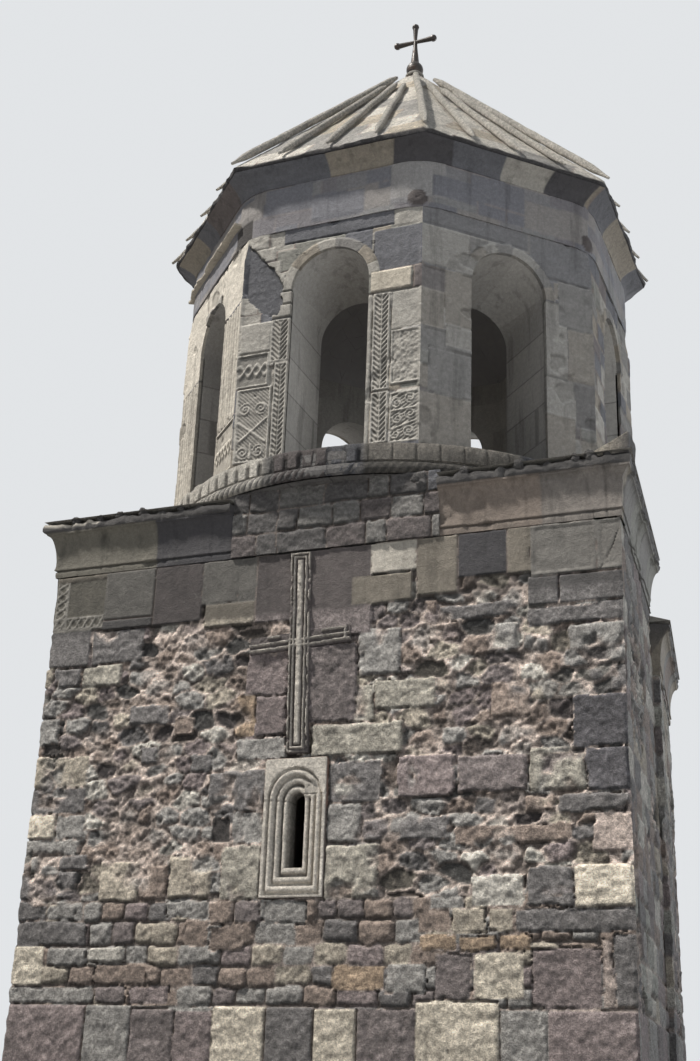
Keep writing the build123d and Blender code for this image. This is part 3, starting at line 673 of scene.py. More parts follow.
def front_stones(across, up):
    """Depth and tone of the facade: core, courses, then each block of the mason's list over them."""
    small = small_courses(across, up, [foot_top, 1.33, 1.52, 1.71, 1.94, courses_top], 0.29, 41, course_tones)
    in_courses = up < courses_top + 0.04 * noise(across, up, 0.5, 44)
    stones = laid_over(core_stones(across, up, 31), small, in_courses)
    depth, tone = laid_over(stones, foot_stones(across, up, 0.62, 51), up < foot_top)
    wobble_u = waves(across, up, (0.026, 0.20, 61), (0.014, 0.06, 63))
    wobble_v = waves(across, up, (0.026, 0.24, 62), (0.014, 0.07, 64))
    pointed = smooth(1.6 * noise(across, up, 0.45, 65, 3) + 0.3)
    buried = 0.85 * smooth(3.2 * noise(across, up, 0.36, 66, 4) - 0.30) * (up > 2.1)
    for number, (name, left, right, bottom, top) in enumerate(front_blocks):
        dressed = top > upper_tops or name in ("cream", "panel", "interlace") or top < low_tops
        amount = 0.3 if dressed else 1.0
        inside, beside, above = within(across + amount * wobble_u, up + amount * wobble_v,
                                       left, right, bottom, top)
        if not inside.any():
            continue
        u, v = across[inside], up[inside]
        round_off = 0.012 if dressed and top > low_tops else 0.024
        t = rounded(corner_distance(beside - 0.003, above - 0.003, round_off), round_off)
        sunk, uneven = (0.001, 0.012) if dressed else (0.004, 0.022)
        rough = 0.003 if top > upper_tops else 0.016
        face = -sunk - uneven * hashed(number, 1, 71) + rough * noise(u, v, 0.07, 72)
        face = face + tilted(u, v, number, 3, 73, 0.5 * rough)
        # Holes are set back and coloured near black: painted shade inside them.
        if name == "hole":
            face = -0.052 + 0.016 * noise(u, v, 0.10, 78)
        if name == "interlace":
            strand = interlace(u, v, left, bottom)
            face = face - 0.010 + 0.012 * strand * (1 - 0.5 * smooth((noise(u, v, 0.2, 77) - 0.1) / 0.3))
            # The raised strands are painted pale and the ground olive: painted light on the relief, painted
            # shade between.
            block_tone = mixed(tones["olive"], 1.6 * tones["pale"], strand)
        elif name == "panel":
            crack = np.abs((u - 2.98) * 1.9 - (v - 5.2)) < 0.007
            face = face - 0.010 * smooth((np.minimum(beside, above) - 0.035) / 0.012)
            face = face + 0.005 * noise(u, v, 0.16, 74, 2) - 0.02 * crack * (left > 2.9)
            block_tone = tones["sage"]
        else:
            block_tone = plain_block_tone(name, top)
        joint = (-0.018 if top > low_tops else -0.040) if dressed else -0.050 + 0.034 * pointed[inside]
        lost = buried[inside] * (not dressed and name not in ("hole", "plum", "black"))
        depth[inside] = (face * t + joint * (1 - t)) * (1 - lost) + depth[inside] * lost
        shade = 1 + 0.30 * noise(u, v, 0.11, 75) + 0.16 * (hashed(number, 5, 76) - 0.5)
        mortar = (0.5 + 0.35 * pointed[inside, None]) * tones["mortar"]
        tone[inside] = mixed(mixed(mortar, block_tone * shade[..., None], smooth(t * 2)), tone[inside], lost)
    # A painted shadow of the cornice darkens the top of the facade on the left; bright sets the level of each
    # zone.
    shade = 0.26 * smooth((up - 4.98) / 0.08) * smooth((-0.3 - across) / 0.5)
    bright = (2.24 - 0.52 * (up < courses_top) - 0.04 * (up < foot_top)
              - 1.48 * smooth((up - dressed_from + 0.04) / 0.06))
    return depth, tone * (bright * (1 - shade))[..., None]

# %% [markdown]
# ## Walls of the base
#
# Each wall is a line on the plan with a height. A point stands out from it by its depth, along the
# wall's normal. Near a corner it is also pulled along the wall, so that both walls meet on the mitre,
# and there they share one depth, which only depends on the height. The slabs of a wall share the same
# formula along their seams, so no gap opens between them.

# %% Corners and wall sheets
quoin_heights = {
    "front_left": [-0.1, 0.55, 1.15, 1.33, 1.72, 1.95, 2.17, 2.46, 2.63, 2.79, 3.05, 3.32, 3.67, 4.08, 4.42,
                   4.65, 5.06, 5.80],
    "front_right": [-0.1, 0.55, 1.15, 1.79, 2.00, 2.37, 2.50, 2.86, 3.04, 3.45, 3.96, 4.23, 4.66, 4.87, 5.17,
                    5.80],
    "back_left": [-0.1, 0.55, 1.15, 1.40, 1.78, 2.05, 2.42, 2.70, 3.10, 3.40, 3.76, 4.05, 4.44, 4.75, 5.10],
    "back_right": [-0.1, 0.55, 1.15, 1.46, 1.70, 2.12, 2.38, 2.80, 3.06, 3.48, 3.72, 4.16, 4.50, 4.80, 5.10],
}


def corner_depth(up, corner):
    """Depth of a corner of the base by height: worn quoins with shallow joints between them."""
    count = len(quoin_heights[corner])
    row, above = course_of(up, quoin_heights[corner])
    worn = 0.010 * (1 + noise(up, 0 * up + 3.3, 0.09, len(corner) + count))
    return -0.004 - 0.014 * hashed(row, count, 81) - worn - 0.022 * (1 - rounded(above - 0.002, 0.025))


def wall_points(start, end, along, up, depth, turn_start, turn_end):
    """Points of a wall from its plan line, the place along it from 0 to 1, the height and the depth.

    turn_start and turn_end are the angles by which the plan turns at its ends, or 0 where the wall
    runs on. The pull towards a corner is the depth times the tangent of half of that angle.
    """
    start, end = np.array(start), np.array(end)
    length = np.hypot(*(end - start))
    tangent = (end - start) / length
    normal = np.array([tangent[1], -tangent[0]])
    distance = along * length
    pull = (math.tan(turn_end / 2) * (1 - smooth((length - distance) / 0.12))
            - math.tan(turn_start / 2) * (1 - smooth(distance / 0.12)))
    return lifted(start + tangent * (distance + depth * pull)[..., None] + normal * depth[..., None], up)


def wall_slab(name, start, end, span, low, high, step, stones, finish, turns, corners, offset=0.0):
    """A closed slab of facing on part of a wall: span is its part of the wall's length in metres.

    stones gives the depth and the tone at a place along the wall and a height. Where the wall ends in
    a corner, the depth runs over into the corner's own.
    """
    length = math.hypot(end[0] - start[0], end[1] - start[1])
    place, up = np.meshgrid(np.linspace(*span, int(round((span[1] - span[0]) / step)) + 1),
                            np.linspace(low, high, int(round((high - low) / step)) + 1))
    depth, tone = stones(place + offset, up)
    for corner, distance in zip(corners, (place, length - place)):
        if corner:
            blend = 1 - smooth((distance - 0.012) / 0.035)
            depth = depth * (1 - blend) + corner_depth(up, corner) * blend
    depth = np.maximum(depth, 0.008 - facing_depth + 0.003 * noise(place, up, 0.05, 91))
    points, back = (wall_points(start, end, place / length, up, sheet, *turns)
                    for sheet in (depth, np.full(place.shape, -facing_depth - 0.02)))
    # Painted shade in the hollows, painted light on the stone tops and painted shade under them.
    add_slab(name, points, back, painted_slope_light(depth, painted_hollow_shade(depth, tone), step), finish, "rubble_walls")


front_turn = math.pi / 2 + side_angle
rear_turn = math.pi / 2 - math.atan2(half_rear_step - half_back, half_depth - step_y)
front_step, side_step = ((0.0165, 0.034))
window_left, window_right = window_low[0], window_high[0]
for name, left, right, low, high, corners in (
        ("facing_front_left", -half_front, window_left, 0.0, cornice_z, ("front_left", "")),
        ("facing_front_right", window_right, half_front, 0.0, cornice_z, ("", "front_right")),
        ("facing_below_window", window_left, window_right, 0.0, window_low[2], ("", "")),
        ("facing_above_window", window_left, window_right, window_high[2], cornice_z, ("", ""))):
    wall_slab(name, (-half_front, -half_depth), (half_front, -half_depth),
              (left + half_front, right + half_front), low, high, front_step, front_stones, facing_stone,
              (front_turn, front_turn), corners, -half_front)

# %% Side and back walls
side_tones = ["grey", "dark", "plum", "tan", "brown", "green", "pale", "purple"]
side_beds = [foot_top, 1.36, 1.60, 1.90, 2.12, 2.40, 2.66, 2.95, 3.18, 3.48, 3.80, 4.05, 4.36, 4.62, 4.92,
             5.20, 5.46, 5.75]


def side_stones(seed):
    """Facing of a side: low courses of large blocks, then uneven courses with parts of the core bare."""
    def stones(across, up):
        kept = noise(across, up, 1.1, seed + 30, 3) > -0.12 - 0.25 * smooth((up - 4.4) / 0.6)
        small = small_courses(across, up, side_beds, 0.46, seed + 20, side_tones, 0.035, 0.04)
        upper = laid_over(core_stones(across, up, seed, 0.34, 0.18), small, kept)
        depth, tone = laid_over(upper, foot_stones(across, up, 0.66, seed + 40), up < foot_top)
        return depth, 1.52 * tone
    return stones


side_parts = (("front", (half_front, half_front_step), (-half_depth, step_y), cornice_z, 100,
               (front_turn, 0)),
              ("rear", (half_rear_step, half_back), (step_y, half_depth), rear_cornice_z, 140,
               (0, rear_turn)))
for side, hand in (("right", 1), ("left", -1)):
    for part, x, y, high, seed, turns in side_parts:
        start, end = [(hand * x[0], y[0]), (hand * x[1], y[1])][::hand]
        corner = ("front_" if part == "front" else "back_") + side
        wall_slab(f"facing_{side}_{part}", start, end, (0, math.hypot(x[1] - x[0], y[1] - y[0])), 0.0, high,
                  side_step, side_stones(seed + hand), rough_stone, turns[::hand],
                  [corner if turn else "" for turn in turns][::hand])

for name, left, right, low, corners in (
        ("facing_back_right", 0, half_back - door_half, 0.0, ("back_right", "")),
        ("facing_back_left", half_back + door_half, 2 * half_back, 0.0, ("", "back_left")),
        ("facing_over_door", half_back - door_half, half_back + door_half, door_top, ("", ""))):
    wall_slab(name, (half_back, half_depth), (-half_back, half_depth), (left, right), low, rear_cornice_z,
              side_step, side_stones(180), rough_stone, (rear_turn, rear_turn), corners)

# %% [markdown]
# ## Faces of the drum
#
# Each of the eight faces has dressed stones in courses, and the three faces towards the front keep old
# carving: leaf strips, volutes, scrolls and flutes. A face is made as two half sheets, each from the
# jamb to the vertex. Their inner edge follows the jamb and then the quarter of the round arch, so the
# rows there are spaced by angle. At a vertex two faces share one depth and meet on the mitre.

# %% Outline of the upper band
band_round = 0.70
band_straight = (band_apothem - band_round) * math.tan(corner_turn)
band_side = 2 * (band_straight + band_round * corner_turn)
band_ledge = band_apothem - apothem - 0.012


def face_angle(face):
    """Direction of a face of the octagon, counted from the front one to the right."""
    return np.radians(-90 + 45 * face)


def turned(angle, out, across):
    """Plan points of a face from the distance out from the axis and the place across the face."""
    return joined(np.cos(angle) * out - np.sin(angle) * across, np.sin(angle) * out + np.cos(angle) * across)


def band_outline(run):
    """Plan points and outward normals of the rounded octagon, from the distance along it.

    The distance starts in the middle of the front face and grows to the right. Each eighth is a
    straight part of one face, half on each side of it the turn of the round corner.
    """
    eighth = np.floor(run / band_side + 0.5)
    local = run - eighth * band_side
    bend = np.clip(np.abs(local) - band_straight, 0, None) / band_round * np.sign(local)
    normal = joined(np.cos(face_angle(eighth) + bend), np.sin(face_angle(eighth) + bend))
    straight = np.clip(local, -band_straight, band_straight)
    return turned(face_angle(eighth), band_apothem - band_round, straight) + normal * band_round, normal

# %% Carved patterns, each a height from 0 to 1
def hatching(phase, pitch):
    """A plain wave from 0 to 1."""
    return 0.5 + 0.5 * np.sin(2 * np.pi * phase / pitch)


def herringbone(across, up, centre, pitch):
    """Leaves that rise to both sides of a stem: a ridged wave whose phase falls away from the centre."""
    away = np.abs(across - centre)
    leaf = hatching(up - 1.1 * away, pitch)
    return np.maximum(leaf * smooth((away - 0.006) / 0.006), smooth((0.008 - away) / 0.004))


def volute(across, up, centre_u, centre_v, size, hand):
    """A scroll: a ridge that winds inwards, where distance and angle together give the phase."""
    u, v = across - centre_u, up - centre_v
    radius = np.hypot(u, v)
    turn = hand * np.arctan2(v, u) / (2 * np.pi)
    return (0.5 + 0.5 * np.cos(2 * np.pi * (radius / (size / 1.9) - turn))) * smooth((size - radius) / 0.01)


def stem(across, up, start, end, width):
    """A straight rounded ridge from one point to another."""
    run = np.array(end) - np.array(start)
    u, v = across - start[0], up - start[1]
    share = np.clip((u * run[0] + v * run[1]) / (run @ run), 0, 1)
    return half_round(np.hypot(u - share * run[0], v - share * run[1]), width)


def scrollwork(across, up, volutes, size, stems, width, ground):
    """The highest of the volutes, each with its centre and hand, the stems and the hatched ground."""
    high = ground
    for place in volutes:
        high = np.maximum(high, volute(across, up, *place[:2], size, place[2]))
    for start, end in stems:
        high = np.maximum(high, stem(across, up, start, end, width))
    return high


def volute_panel(across, up):
    """Two pairs of volutes with leafy stems that cross between them, in a unit panel 0.40 by 0.90."""
    volutes = ((0.10, 0.13, 1), (0.29, 0.13, -1), (0.10, 0.66, -1), (0.29, 0.66, 1))
    stems = (((0.03, 0.50), (0.36, 0.24)), ((0.36, 0.52), (0.05, 0.27)), ((0.19, 0.05), (0.19, 0.22)))
    return scrollwork(across, up, volutes, 0.085, stems, 0.018, 0.65 * hatching(across + up, 0.045))


def scroll_panel(across, up):
    """Small scrolls on a slanting stem inside a raised frame, in a unit panel 0.32 by 0.63."""
    volutes = ((0.08, 0.10, -1), (0.23, 0.13, 1), (0.10, 0.28, -1), (0.24, 0.33, 1), (0.09, 0.47, -1),
               (0.24, 0.52, 1))
    stems = (((0.02, 0.16), (0.30, 0.24)), ((0.30, 0.40), (0.03, 0.38)), ((0.05, 0.55), (0.29, 0.62)))
    return scrollwork(across, up, volutes, 0.070, stems, 0.013, 0.6 * hatching(0.6 * across - up, 0.042))


def carved(carving, u, v, left, right, bottom, top, inner):
    """Relief of a carved block from 0 to 1: a plain rim, and inside it the pattern."""
    if carving == "flutes":
        return 1 - np.abs(np.sin(np.pi * (u - left) / 0.092)) ** 0.6
    if carving == "leaf":
        pattern = herringbone(u, v, (left + right) / 2, 0.062)
    elif carving == "volutes":
        pattern = volute_panel(u - left, v - bottom)
    elif carving == "scrolls":
        pattern = scroll_panel(u - left, v - bottom)
    elif carving == "knots":
        pattern = knotwork(u, v - (bottom + top) / 2, 0.20, 0.030)
    else:
        pattern = 0.5 - 0.5 * noise(u, v, 0.026, 323, 2)
    return 1 - inner + inner * pattern


print("patterns: leaf, volutes, scrolls, knots, flutes, stipple")

# %% Stones of the drum, face by face: tone, carving, left, right, bottom, top, how proud
drum_blocks = {
    0: [("pale", "plain", -1.10, -0.70, 8.19, 8.57, 0.030),
        ("pale", "knots", -1.10, -0.70, 7.75, 8.18, 0.024),
        ("pale", "volutes", -1.06, -0.65, 6.82, 7.74, 0.020),
        ("pale", "leaf", -0.70, -0.47, 8.03, 8.58, 0.020),
        ("pale", "plain", -0.70, -0.47, 8.60, 8.76, 0.028),
        ("pale", "plain", -0.69, -0.47, 8.77, 8.93, 0.022),
        ("pale", "leaf", -0.64, -0.47, 6.84, 8.02, 0.016),
        ("slate", "plain", -1.10, -0.62, 8.94, 9.30, 0.010),
        ("pale", "plain", -0.88, -0.62, 9.10, 9.36, 0.026),
        ("pale", "plain", -0.98, -0.70, 9.38, 9.56, 0.022),
        ("green", "plain", -0.44, 0.16, 9.20, 9.56, 0.014),
        ("slate", "plain", 0.17, 0.50, 9.20, 9.56, 0.010), ("pale", "leaf", 0.53, 0.74, 7.47, 8.69, 0.018),
        ("pale", "plain", 0.46, 0.52, 6.80, 8.69, 0.016), ("pale", "leaf", 0.53, 0.74, 6.84, 7.46, 0.014),
        ("pale", "stipple", 0.75, 1.10, 7.52, 8.19, 0.020),
        ("pale", "scrolls", 0.75, 1.10, 6.82, 7.43, 0.018),
        ("pale", "plain", 0.75, 1.10, 8.20, 8.69, 0.012), ("cream", "plain", 0.50, 0.98, 8.71, 8.97, 0.030),
        ("slate", "plain", 0.52, 1.10, 8.98, 9.52, 0.012), ("pale", "plain", 0.76, 1.10, 9.53, 9.76, 0.010),
        ("slate", "plain", -0.60, 0.75, 9.57, 9.76, 0.008)],
    1: [("pale", "plain", -1.10, -0.50, 9.01, 9.52, 0.010),
        ("slate", "plain", -1.10, 0.26, 9.53, 9.76, 0.008),
        ("plum", "plain", -1.10, -0.77, 8.69, 8.98, -0.004),
        ("tan", "plain", -0.80, -0.46, 8.30, 9.00, 0.012),
        ("pale", "plain", -0.78, -0.46, 8.02, 8.29, 0.015),
        ("tan", "plain", -1.10, -0.81, 8.21, 8.68, 0.012),
        ("grey", "plain", -1.10, -0.79, 7.90, 8.20, 0.010),
        ("grey", "plain", -0.99, -0.46, 7.42, 7.97, 0.012),
        ("tan", "plain", -1.10, -0.46, 6.78, 7.41, 0.010), ("pale", "plain", 0.46, 0.76, 7.97, 8.93, 0.020),
        ("tan", "plain", 0.77, 1.10, 7.98, 8.63, 0.010), ("dark", "plain", 0.84, 1.10, 7.41, 7.97, 0.010),
        ("tan", "plain", 0.46, 0.83, 6.78, 7.50, 0.012), ("grey", "plain", 0.65, 1.10, 8.64, 9.24, 0.010),
        ("slate", "plain", 0.27, 1.10, 9.25, 9.76, 0.008),
        ("pale", "plain", 0.46, 0.83, 7.51, 7.96, 0.012)],
    7: [("bright", "flutes", 0.47, 1.10, 7.45, 8.93, 0.020),
        ("bright", "knots", 0.47, 1.10, 6.80, 7.43, 0.016),
        ("bright", "flutes", -1.10, -0.47, 6.80, 8.60, 0.020),
        ("bright", "plain", 0.30, 1.10, 8.95, 9.74, 0.012),
        ("bright", "plain", -1.10, -0.30, 8.62, 9.74, 0.012),
        ("bright", "plain", -0.28, 0.28, 9.42, 9.74, 0.012)],
}
drum_beds = [6.76, 7.00, 7.26, 7.46, 7.74, 7.98, 8.24, 8.48, 8.70, 8.98, 9.20, 9.50, 9.78]
drum_tones = ["tan", "grey", "pale", "slate", "tan", "grey", "plum", "pale", "slate", "green"]
voussoir_turn = math.pi / 7


def arch_ring(face, across, up):
    """The voussoirs: where they are, their height over the face and their tone, named by their angle."""
    radius = np.hypot(across, np.maximum(up - arch_spring, 0))
    angle = np.arctan2(up - arch_spring, across)
    count = angle / voussoir_turn + 0.3 * np.sin(3 * angle)
    voussoir = np.floor(count)
    from_joint = (0.5 - np.abs(count - voussoir - 0.5)) * radius * voussoir_turn
    ring = (radius < arch_half + 0.125 + 0.01 * noise(across, up, 0.1, 312)) & (up > arch_spring)
    height = 0.040 + 0.012 * rounded(np.minimum(from_joint, arch_half + 0.115 - radius), 0.012)
    return ring, (height, pick_tones(hashed(voussoir, face, 311), ["pale", "tan", "pale", "grey"]))


def drum_stones(face, across, up):
    """Height over the drum face and tone: courses, a ring of voussoirs, then the placed blocks."""
    depth, tone = small_courses(across, up, drum_beds, 0.46, 300 + 7 * face, drum_tones, 0.014, 0.018)
    ring, voussoirs = arch_ring(face, across, up)
    depth, tone = laid_over((depth + 0.050, tone), voussoirs, ring)
    for name, carving, left, right, bottom, top, proud in drum_blocks.get(face, []):
        over_ring = name in ("cream", "bright") and carving == "plain"
        free = True if over_ring else ~(ring & (up > arch_spring + 0.05))
        inside, beside, above = within(across, up, left, right, bottom, top, free)
        if not inside.any():
            continue
        u, v = across[inside], up[inside]
        beside, above = beside + 0.003 * noise(u, v, 0.12, 320), above + 0.003 * noise(u, v, 0.12, 321)
        t = rounded(corner_distance(beside, above, 0.012), 0.012)
        face_height = proud + 0.024 + 0.002 * noise(u, v, 0.05, 322)
        relief = np.full(u.shape, 0.7)
        if carving != "plain":
            inner = smooth((np.minimum(beside, above) - 0.022) / 0.008)
            relief = carved(carving, u, v, left, right, bottom, top, inner)
            face_height = face_height + 0.020 * (relief - 0.7)
        depth[inside] = face_height * t + (proud + 0.004) * (1 - t)
        # The tone follows the relief: raised carving painted lighter, its recesses painted darker as shade.
        shade = (1 + 0.20 * noise(u, v, 0.13, 324)) * (0.62 + 0.55 * relief)
        tone[inside] = tones[name] * (shade * (0.55 + 0.45 * smooth(t * 1.5)))[..., None]
    if face == 1:
        tone = 0.62 * tone + 0.38 * tones["drum_grey"]
    if face == 0:
        # The facing is lost near the left vertex, between a slanting break and a ragged lower edge; the loss
        # is set back a little and painted dark slate as shade.
        frayed = 0.05 * noise(across, up, 0.09, 327)
        fallen_in_painted_shade = (up < 9.80 + frayed - 1.19 * (across + 1.18)) & (across < -0.60 + frayed)
        fallen_in_painted_shade &= up > 8.66 + frayed + 0.62 * np.maximum(0, (-0.66 - across) / 0.5) ** 2.6
        fallen_in_painted_shade &= up > 8.62 + 0.03 * noise(across, up, 0.1, 326)
        depth = np.where(fallen_in_painted_shade, 0.014 + 0.006 * noise(across, up, 0.05, 325), depth)
        tone = mixed(tone, 0.75 * tones["slate"], fallen_in_painted_shade)
    worn = smooth((noise(across, up, 0.34, 330 + face, 3) - 0.36) / 0.1)
    depth = depth - 0.014 * worn + 0.004 * noise(across, up, 0.06, 331)
    return np.clip(depth, 0.012, 0.080), tone * (1 - 0.2 * worn)[..., None]


def vertex_depth(up, vertex):
    """Height of the drum's stones at a vertex: worn arrises with shallow joints between the courses."""
    row, above = course_of(up, drum_beds)
    worn = 0.004 * noise(up, 0 * up + vertex, 0.1, 341)
    return 0.034 + (0.006 + 0.012 * hashed(row, vertex, 340)) * rounded(above, 0.018) + worn

# %% Half sheets of the drum
arch_crown = arch_spring + arch_half
carved_steps, plain_step = {0: 0.012, 7: 0.013, 1: 0.017}, 0.028


def drum_points(face, across, up, height):
    """Points of a drum face from the place across it, the height above ground and the height over it.

    Near a vertex the point is pulled outwards along the face by the height times the tangent of 22.5
    degrees, so that neighbouring faces meet on the mitre. Over the arches the sharp vertices run out
    into the rounded outline of the upper band.
    """
    pull = np.sign(across) * math.tan(corner_turn) * (1 - smooth((face_half - np.abs(across)) / 0.10))
    plan = turned(face_angle(face), apothem + height, across + pull * height)
    soft_plan, soft_normal = band_outline((face + across / face_half / 2) * band_side)
    soft_plan = soft_plan + soft_normal * (height - band_ledge)[..., None]
    return lifted(mixed(plan, soft_plan, 0.85 * smooth((up - band_bottom + 0.34) / 0.32)), up)


for face in range(8):
    step = carved_steps.get(face, plain_step) * 1
    jamb_rows = int((arch_spring - ring_top) / step)
    top_rows = max(3, int((band_bottom - arch_crown) / step))
    quarter = np.linspace(0, math.pi / 2, int(arch_half * math.pi / 2 / step))
    heights = np.concatenate([np.linspace(ring_top, arch_spring, jamb_rows)[:-1],
                              arch_spring + arch_half * np.sin(quarter),
                              np.linspace(arch_crown, band_bottom, top_rows)[1:]])
    inner = np.concatenate([np.full(jamb_rows - 1, arch_half), arch_half * np.cos(quarter),
                            np.zeros(top_rows - 1)])
    share = np.linspace(0, 1, int((face_half - arch_half) / step) + 6)
    for side, label in ((1, "right"), (-1, "left")):
        across = side * (inner[:, None] + (face_half - inner[:, None]) * share[::side])
        up = heights[:, None] + 0 * across
        height, tone = drum_stones(face, across, up)
        blend = 1 - smooth((face_half - np.abs(across) - 0.008) / 0.03)
        height = height * (1 - blend) + vertex_depth(up, (face + (side > 0)) % 8) * blend
        back = drum_points(face, across, up, np.full(across.shape, -0.02))
        # Painted light on the tops of the stones and painted shade under them.
        add_slab(f"drum_face_{face}_{label}", drum_points(face, across, up, height), back,
                 painted_slope_light(height, tone, step), carved_stone, "drum_ashlar")

# %% [markdown]
# ## Upper band, foot ring and podium
#
# The band above the arches is rounded at the vertices, so it is one sheet that wraps round the drum on
# the outline of an octagon with round corners. The foot of the drum is a ring: a rope below, whose
# strands are a wave that winds round the section, and short upright blocks above it. Towards the front
# a later mason mended the ring with plain blocks.

# %% Upper band: tone, left, right, bottom, top
band_blocks = [("pale", 0.72, 1.34, 9.90, 10.36), ("tan", 0.42, 0.71, 9.82, 10.06),
               ("tan", -0.05, 0.71, 10.37, 10.54), ("slate", -0.48, -0.06, 10.35, 10.54),
               ("slate", -0.86, -0.27, 9.98, 10.34), ("plum", 1.35, 1.90, 10.37, 10.54),
               ("slate", 1.20, 1.74, 9.92, 10.20), ("slate", 1.76, 2.36, 9.99, 10.33),
               ("tan", 2.12, 2.70, 10.34, 10.54), ("plum", 2.71, 3.30, 10.22, 10.54),
               ("tan", 2.37, 3.27, 9.82, 10.20), ("tan", -1.30, -0.90, 10.05, 10.30),
               ("slate", -0.26, 0.40, 9.80, 10.12), ("grey", 0.05, 0.42, 10.14, 10.35)]
band_tones = ["slate", "slate", "grey", "slate", "tan", "plum", "slate", "green"]
band_cols = int(8 * band_side / (0.025))
once_round = np.linspace(0, 8 * band_side, band_cols, endpoint=False) - 4 * band_side


def closed_ring(plan, up, tone, inner_plan):
    """A sheet that wraps round the drum, closed by one more row inside it at its top and one at its foot."""
    rows = [lifted(plan, up)] + [lifted(inner_plan, level)[None] for level in (up[-1, 0], up[0, 0])]
    points = np.concatenate(rows)
    quads = sheet_quads(len(points), band_cols, True, True)
    return points, quads, np.concatenate([tone, tone[-1:], tone[:1]])


run, up = np.meshgrid(once_round, np.linspace(band_bottom, band_top, int((band_top - band_bottom) / 0.024)))
height, tone = small_courses(run, up, [9.72, 9.81, 9.98, 10.16, 10.35, 10.56], 0.42, 401, band_tones,
                             0.012, 0.016)
for number, (name, *edges) in enumerate(band_blocks):
    inside, beside, above = within(run, up, *edges)
    worn_edge = 0.016 + 0.006 * (hashed(number, 1, 402) - 0.5)
    height[inside] = -0.016 + worn_edge * rounded(np.minimum(beside, above), 0.012)
    tone[inside] = tones[name] * (1 + 0.12 * noise(run[inside], up[inside], 0.15, 403))[..., None]
height = 0.022 + 0.45 * height + 0.003 * noise(run, up, 0.06, 404)
tone = 0.55 * tone + 0.45 * tones["band_grey"]
# A near-black patch over the hollow at the vertex left of the front face: painted shade in it.
hollow_run, hollow_half, hollow_low, hollow_high = 0.56 * band_side, 0.17, 9.70, 10.02
hollow = (np.abs(run + hollow_run) < hollow_half) & (up > hollow_low) & (up < hollow_high)
height, tone = np.where(hollow, 0.004, height), mixed(tone, tones["hole"], hollow)
boss_radius = 0.105
for boss_run, boss_up in ((0.5 * band_side - 0.06, 9.86), (1.5 * band_side, 9.87)):
    away = np.hypot(run - boss_run, up - boss_up)
    height = height + 0.030 * half_round(away, boss_radius) * (1 - 0.5 * smooth((0.04 - away) / 0.02))
    boss_tone = 0.75 * tones["plum"] * (1 + 0.3 * noise(run, up, 0.04, 405))[..., None]
    tone = mixed(tone, boss_tone, away < boss_radius + 0.005)
plan, normal = band_outline(run)
band_sheet = closed_ring(plan + normal * height[..., None], up, tone, plan[0] - normal[0] * 0.05)
add_piece("band_stones", *band_sheet, carved_stone, "drum_ashlar")

# %% String slab on the face to the left
string_cols, string_foot, string_left, string_right = 130, 10.03, -1.52, -0.585
string_section = np.array([(-0.02, 0.0), (0.03, 0.0), (0.100, 0.004), (0.106, 0.016), (0.100, 0.028),
                           (0.040, 0.034), (-0.02, 0.040)])
run, row = np.meshgrid(np.linspace(string_left * band_side, string_right * band_side, string_cols),
                       np.arange(len(string_section)))
plan, normal = band_outline(run)
worn = 0.35 * smooth(noise(run, 0 * run, 0.2, 411) * 2)
out = string_section[row, 0] * (1 - worn) + 0.006 * noise(run, row, 0.05, 412)
up = string_foot + 0.03 * smooth((-run - 1.1) / 2.0) + string_section[row, 1]
up = up + 0.004 * noise(run, row * 0.1, 0.1, 413)
string_quads, string_ends = carried_profile(*row.shape)
add_piece("string_slab", lifted(plan + normal * out[..., None], up), string_quads,
          tones["cream"] * (1.0 + 0.2 * noise(run, row, 0.2, 414))[..., None], carved_stone, "drum_ashlar",
          caps=string_ends)

# %% Foot ring
ring_cols = 1260
rope_points, rope_height, rope_out, rope_strands, billets = 9, 0.13, 0.046, 210, 108
ring_height = ring_top - ring_bottom
rope_section = [(rope_out * math.sin(a), rope_height / 2 * (1 - math.cos(a)))
                for a in np.linspace(0, math.pi, rope_points)]
section = np.array([(-0.03, 0.0), *rope_section, (0.004, rope_height + 0.008), (0.030, rope_height + 0.014),
                    (0.034, 0.20), (0.034, 0.26), (0.030, 0.318), (0.016, ring_height + 0.002),
                    (-0.03, ring_height + 0.002)])
turn, row = np.meshgrid(np.linspace(-np.pi, np.pi, ring_cols, endpoint=False), np.arange(len(section)))
out, up = section[row, 0], ring_bottom + section[row, 1]
arc, degrees = turn * podium_radius, np.degrees(turn)
mended = between(degrees, -80, -44, 2)
broken = between(degrees, -102, -79, 2)
sunlit = between(degrees, -165, -101, 10, 3)
on_rope = (row > 0) & (row <= rope_points)
on_billet = (row > rope_points + 1) & (row < len(section) - 1)
strand = hatching(turn * rope_strands - (row - 5) * 1.15, 2 * np.pi)
rope = 0.024 * (np.sqrt(strand) - 0.75) * np.sin(np.pi * (row - 1) / 8) * (1 - mended)
out = out + np.where(on_rope, rope, 0)
billet = turn * billets / (2 * np.pi)
gap = smooth((np.abs(billet % 1 - 0.5) - 0.30) / 0.08) * (1 - mended) * (row < 14)
missing = hashed(np.floor(billet), 5, 425) < 0.06 + 0.40 * broken
out = np.where(on_billet, out - 0.024 * gap - 0.020 * missing * (1 - mended), out)
worn = smooth((noise(arc, up, 0.50, 421, 3) - 0.30) / 0.12) + broken * smooth(noise(arc, up, 0.3, 424) * 2)
out = np.where(row > 0, out - 0.018 * np.minimum(worn, 1) * (out > 0.01), out)
out = out + 0.004 * noise(arc, up, 0.05, 422)
out = np.where((row == 0) | (row == len(section) - 1), section[row, 0], out)
upright = smooth((0.013 - np.abs(arc % 0.25 - 0.125)) / 0.008) * mended
out = np.where(on_billet, out - 0.010 * upright, out)
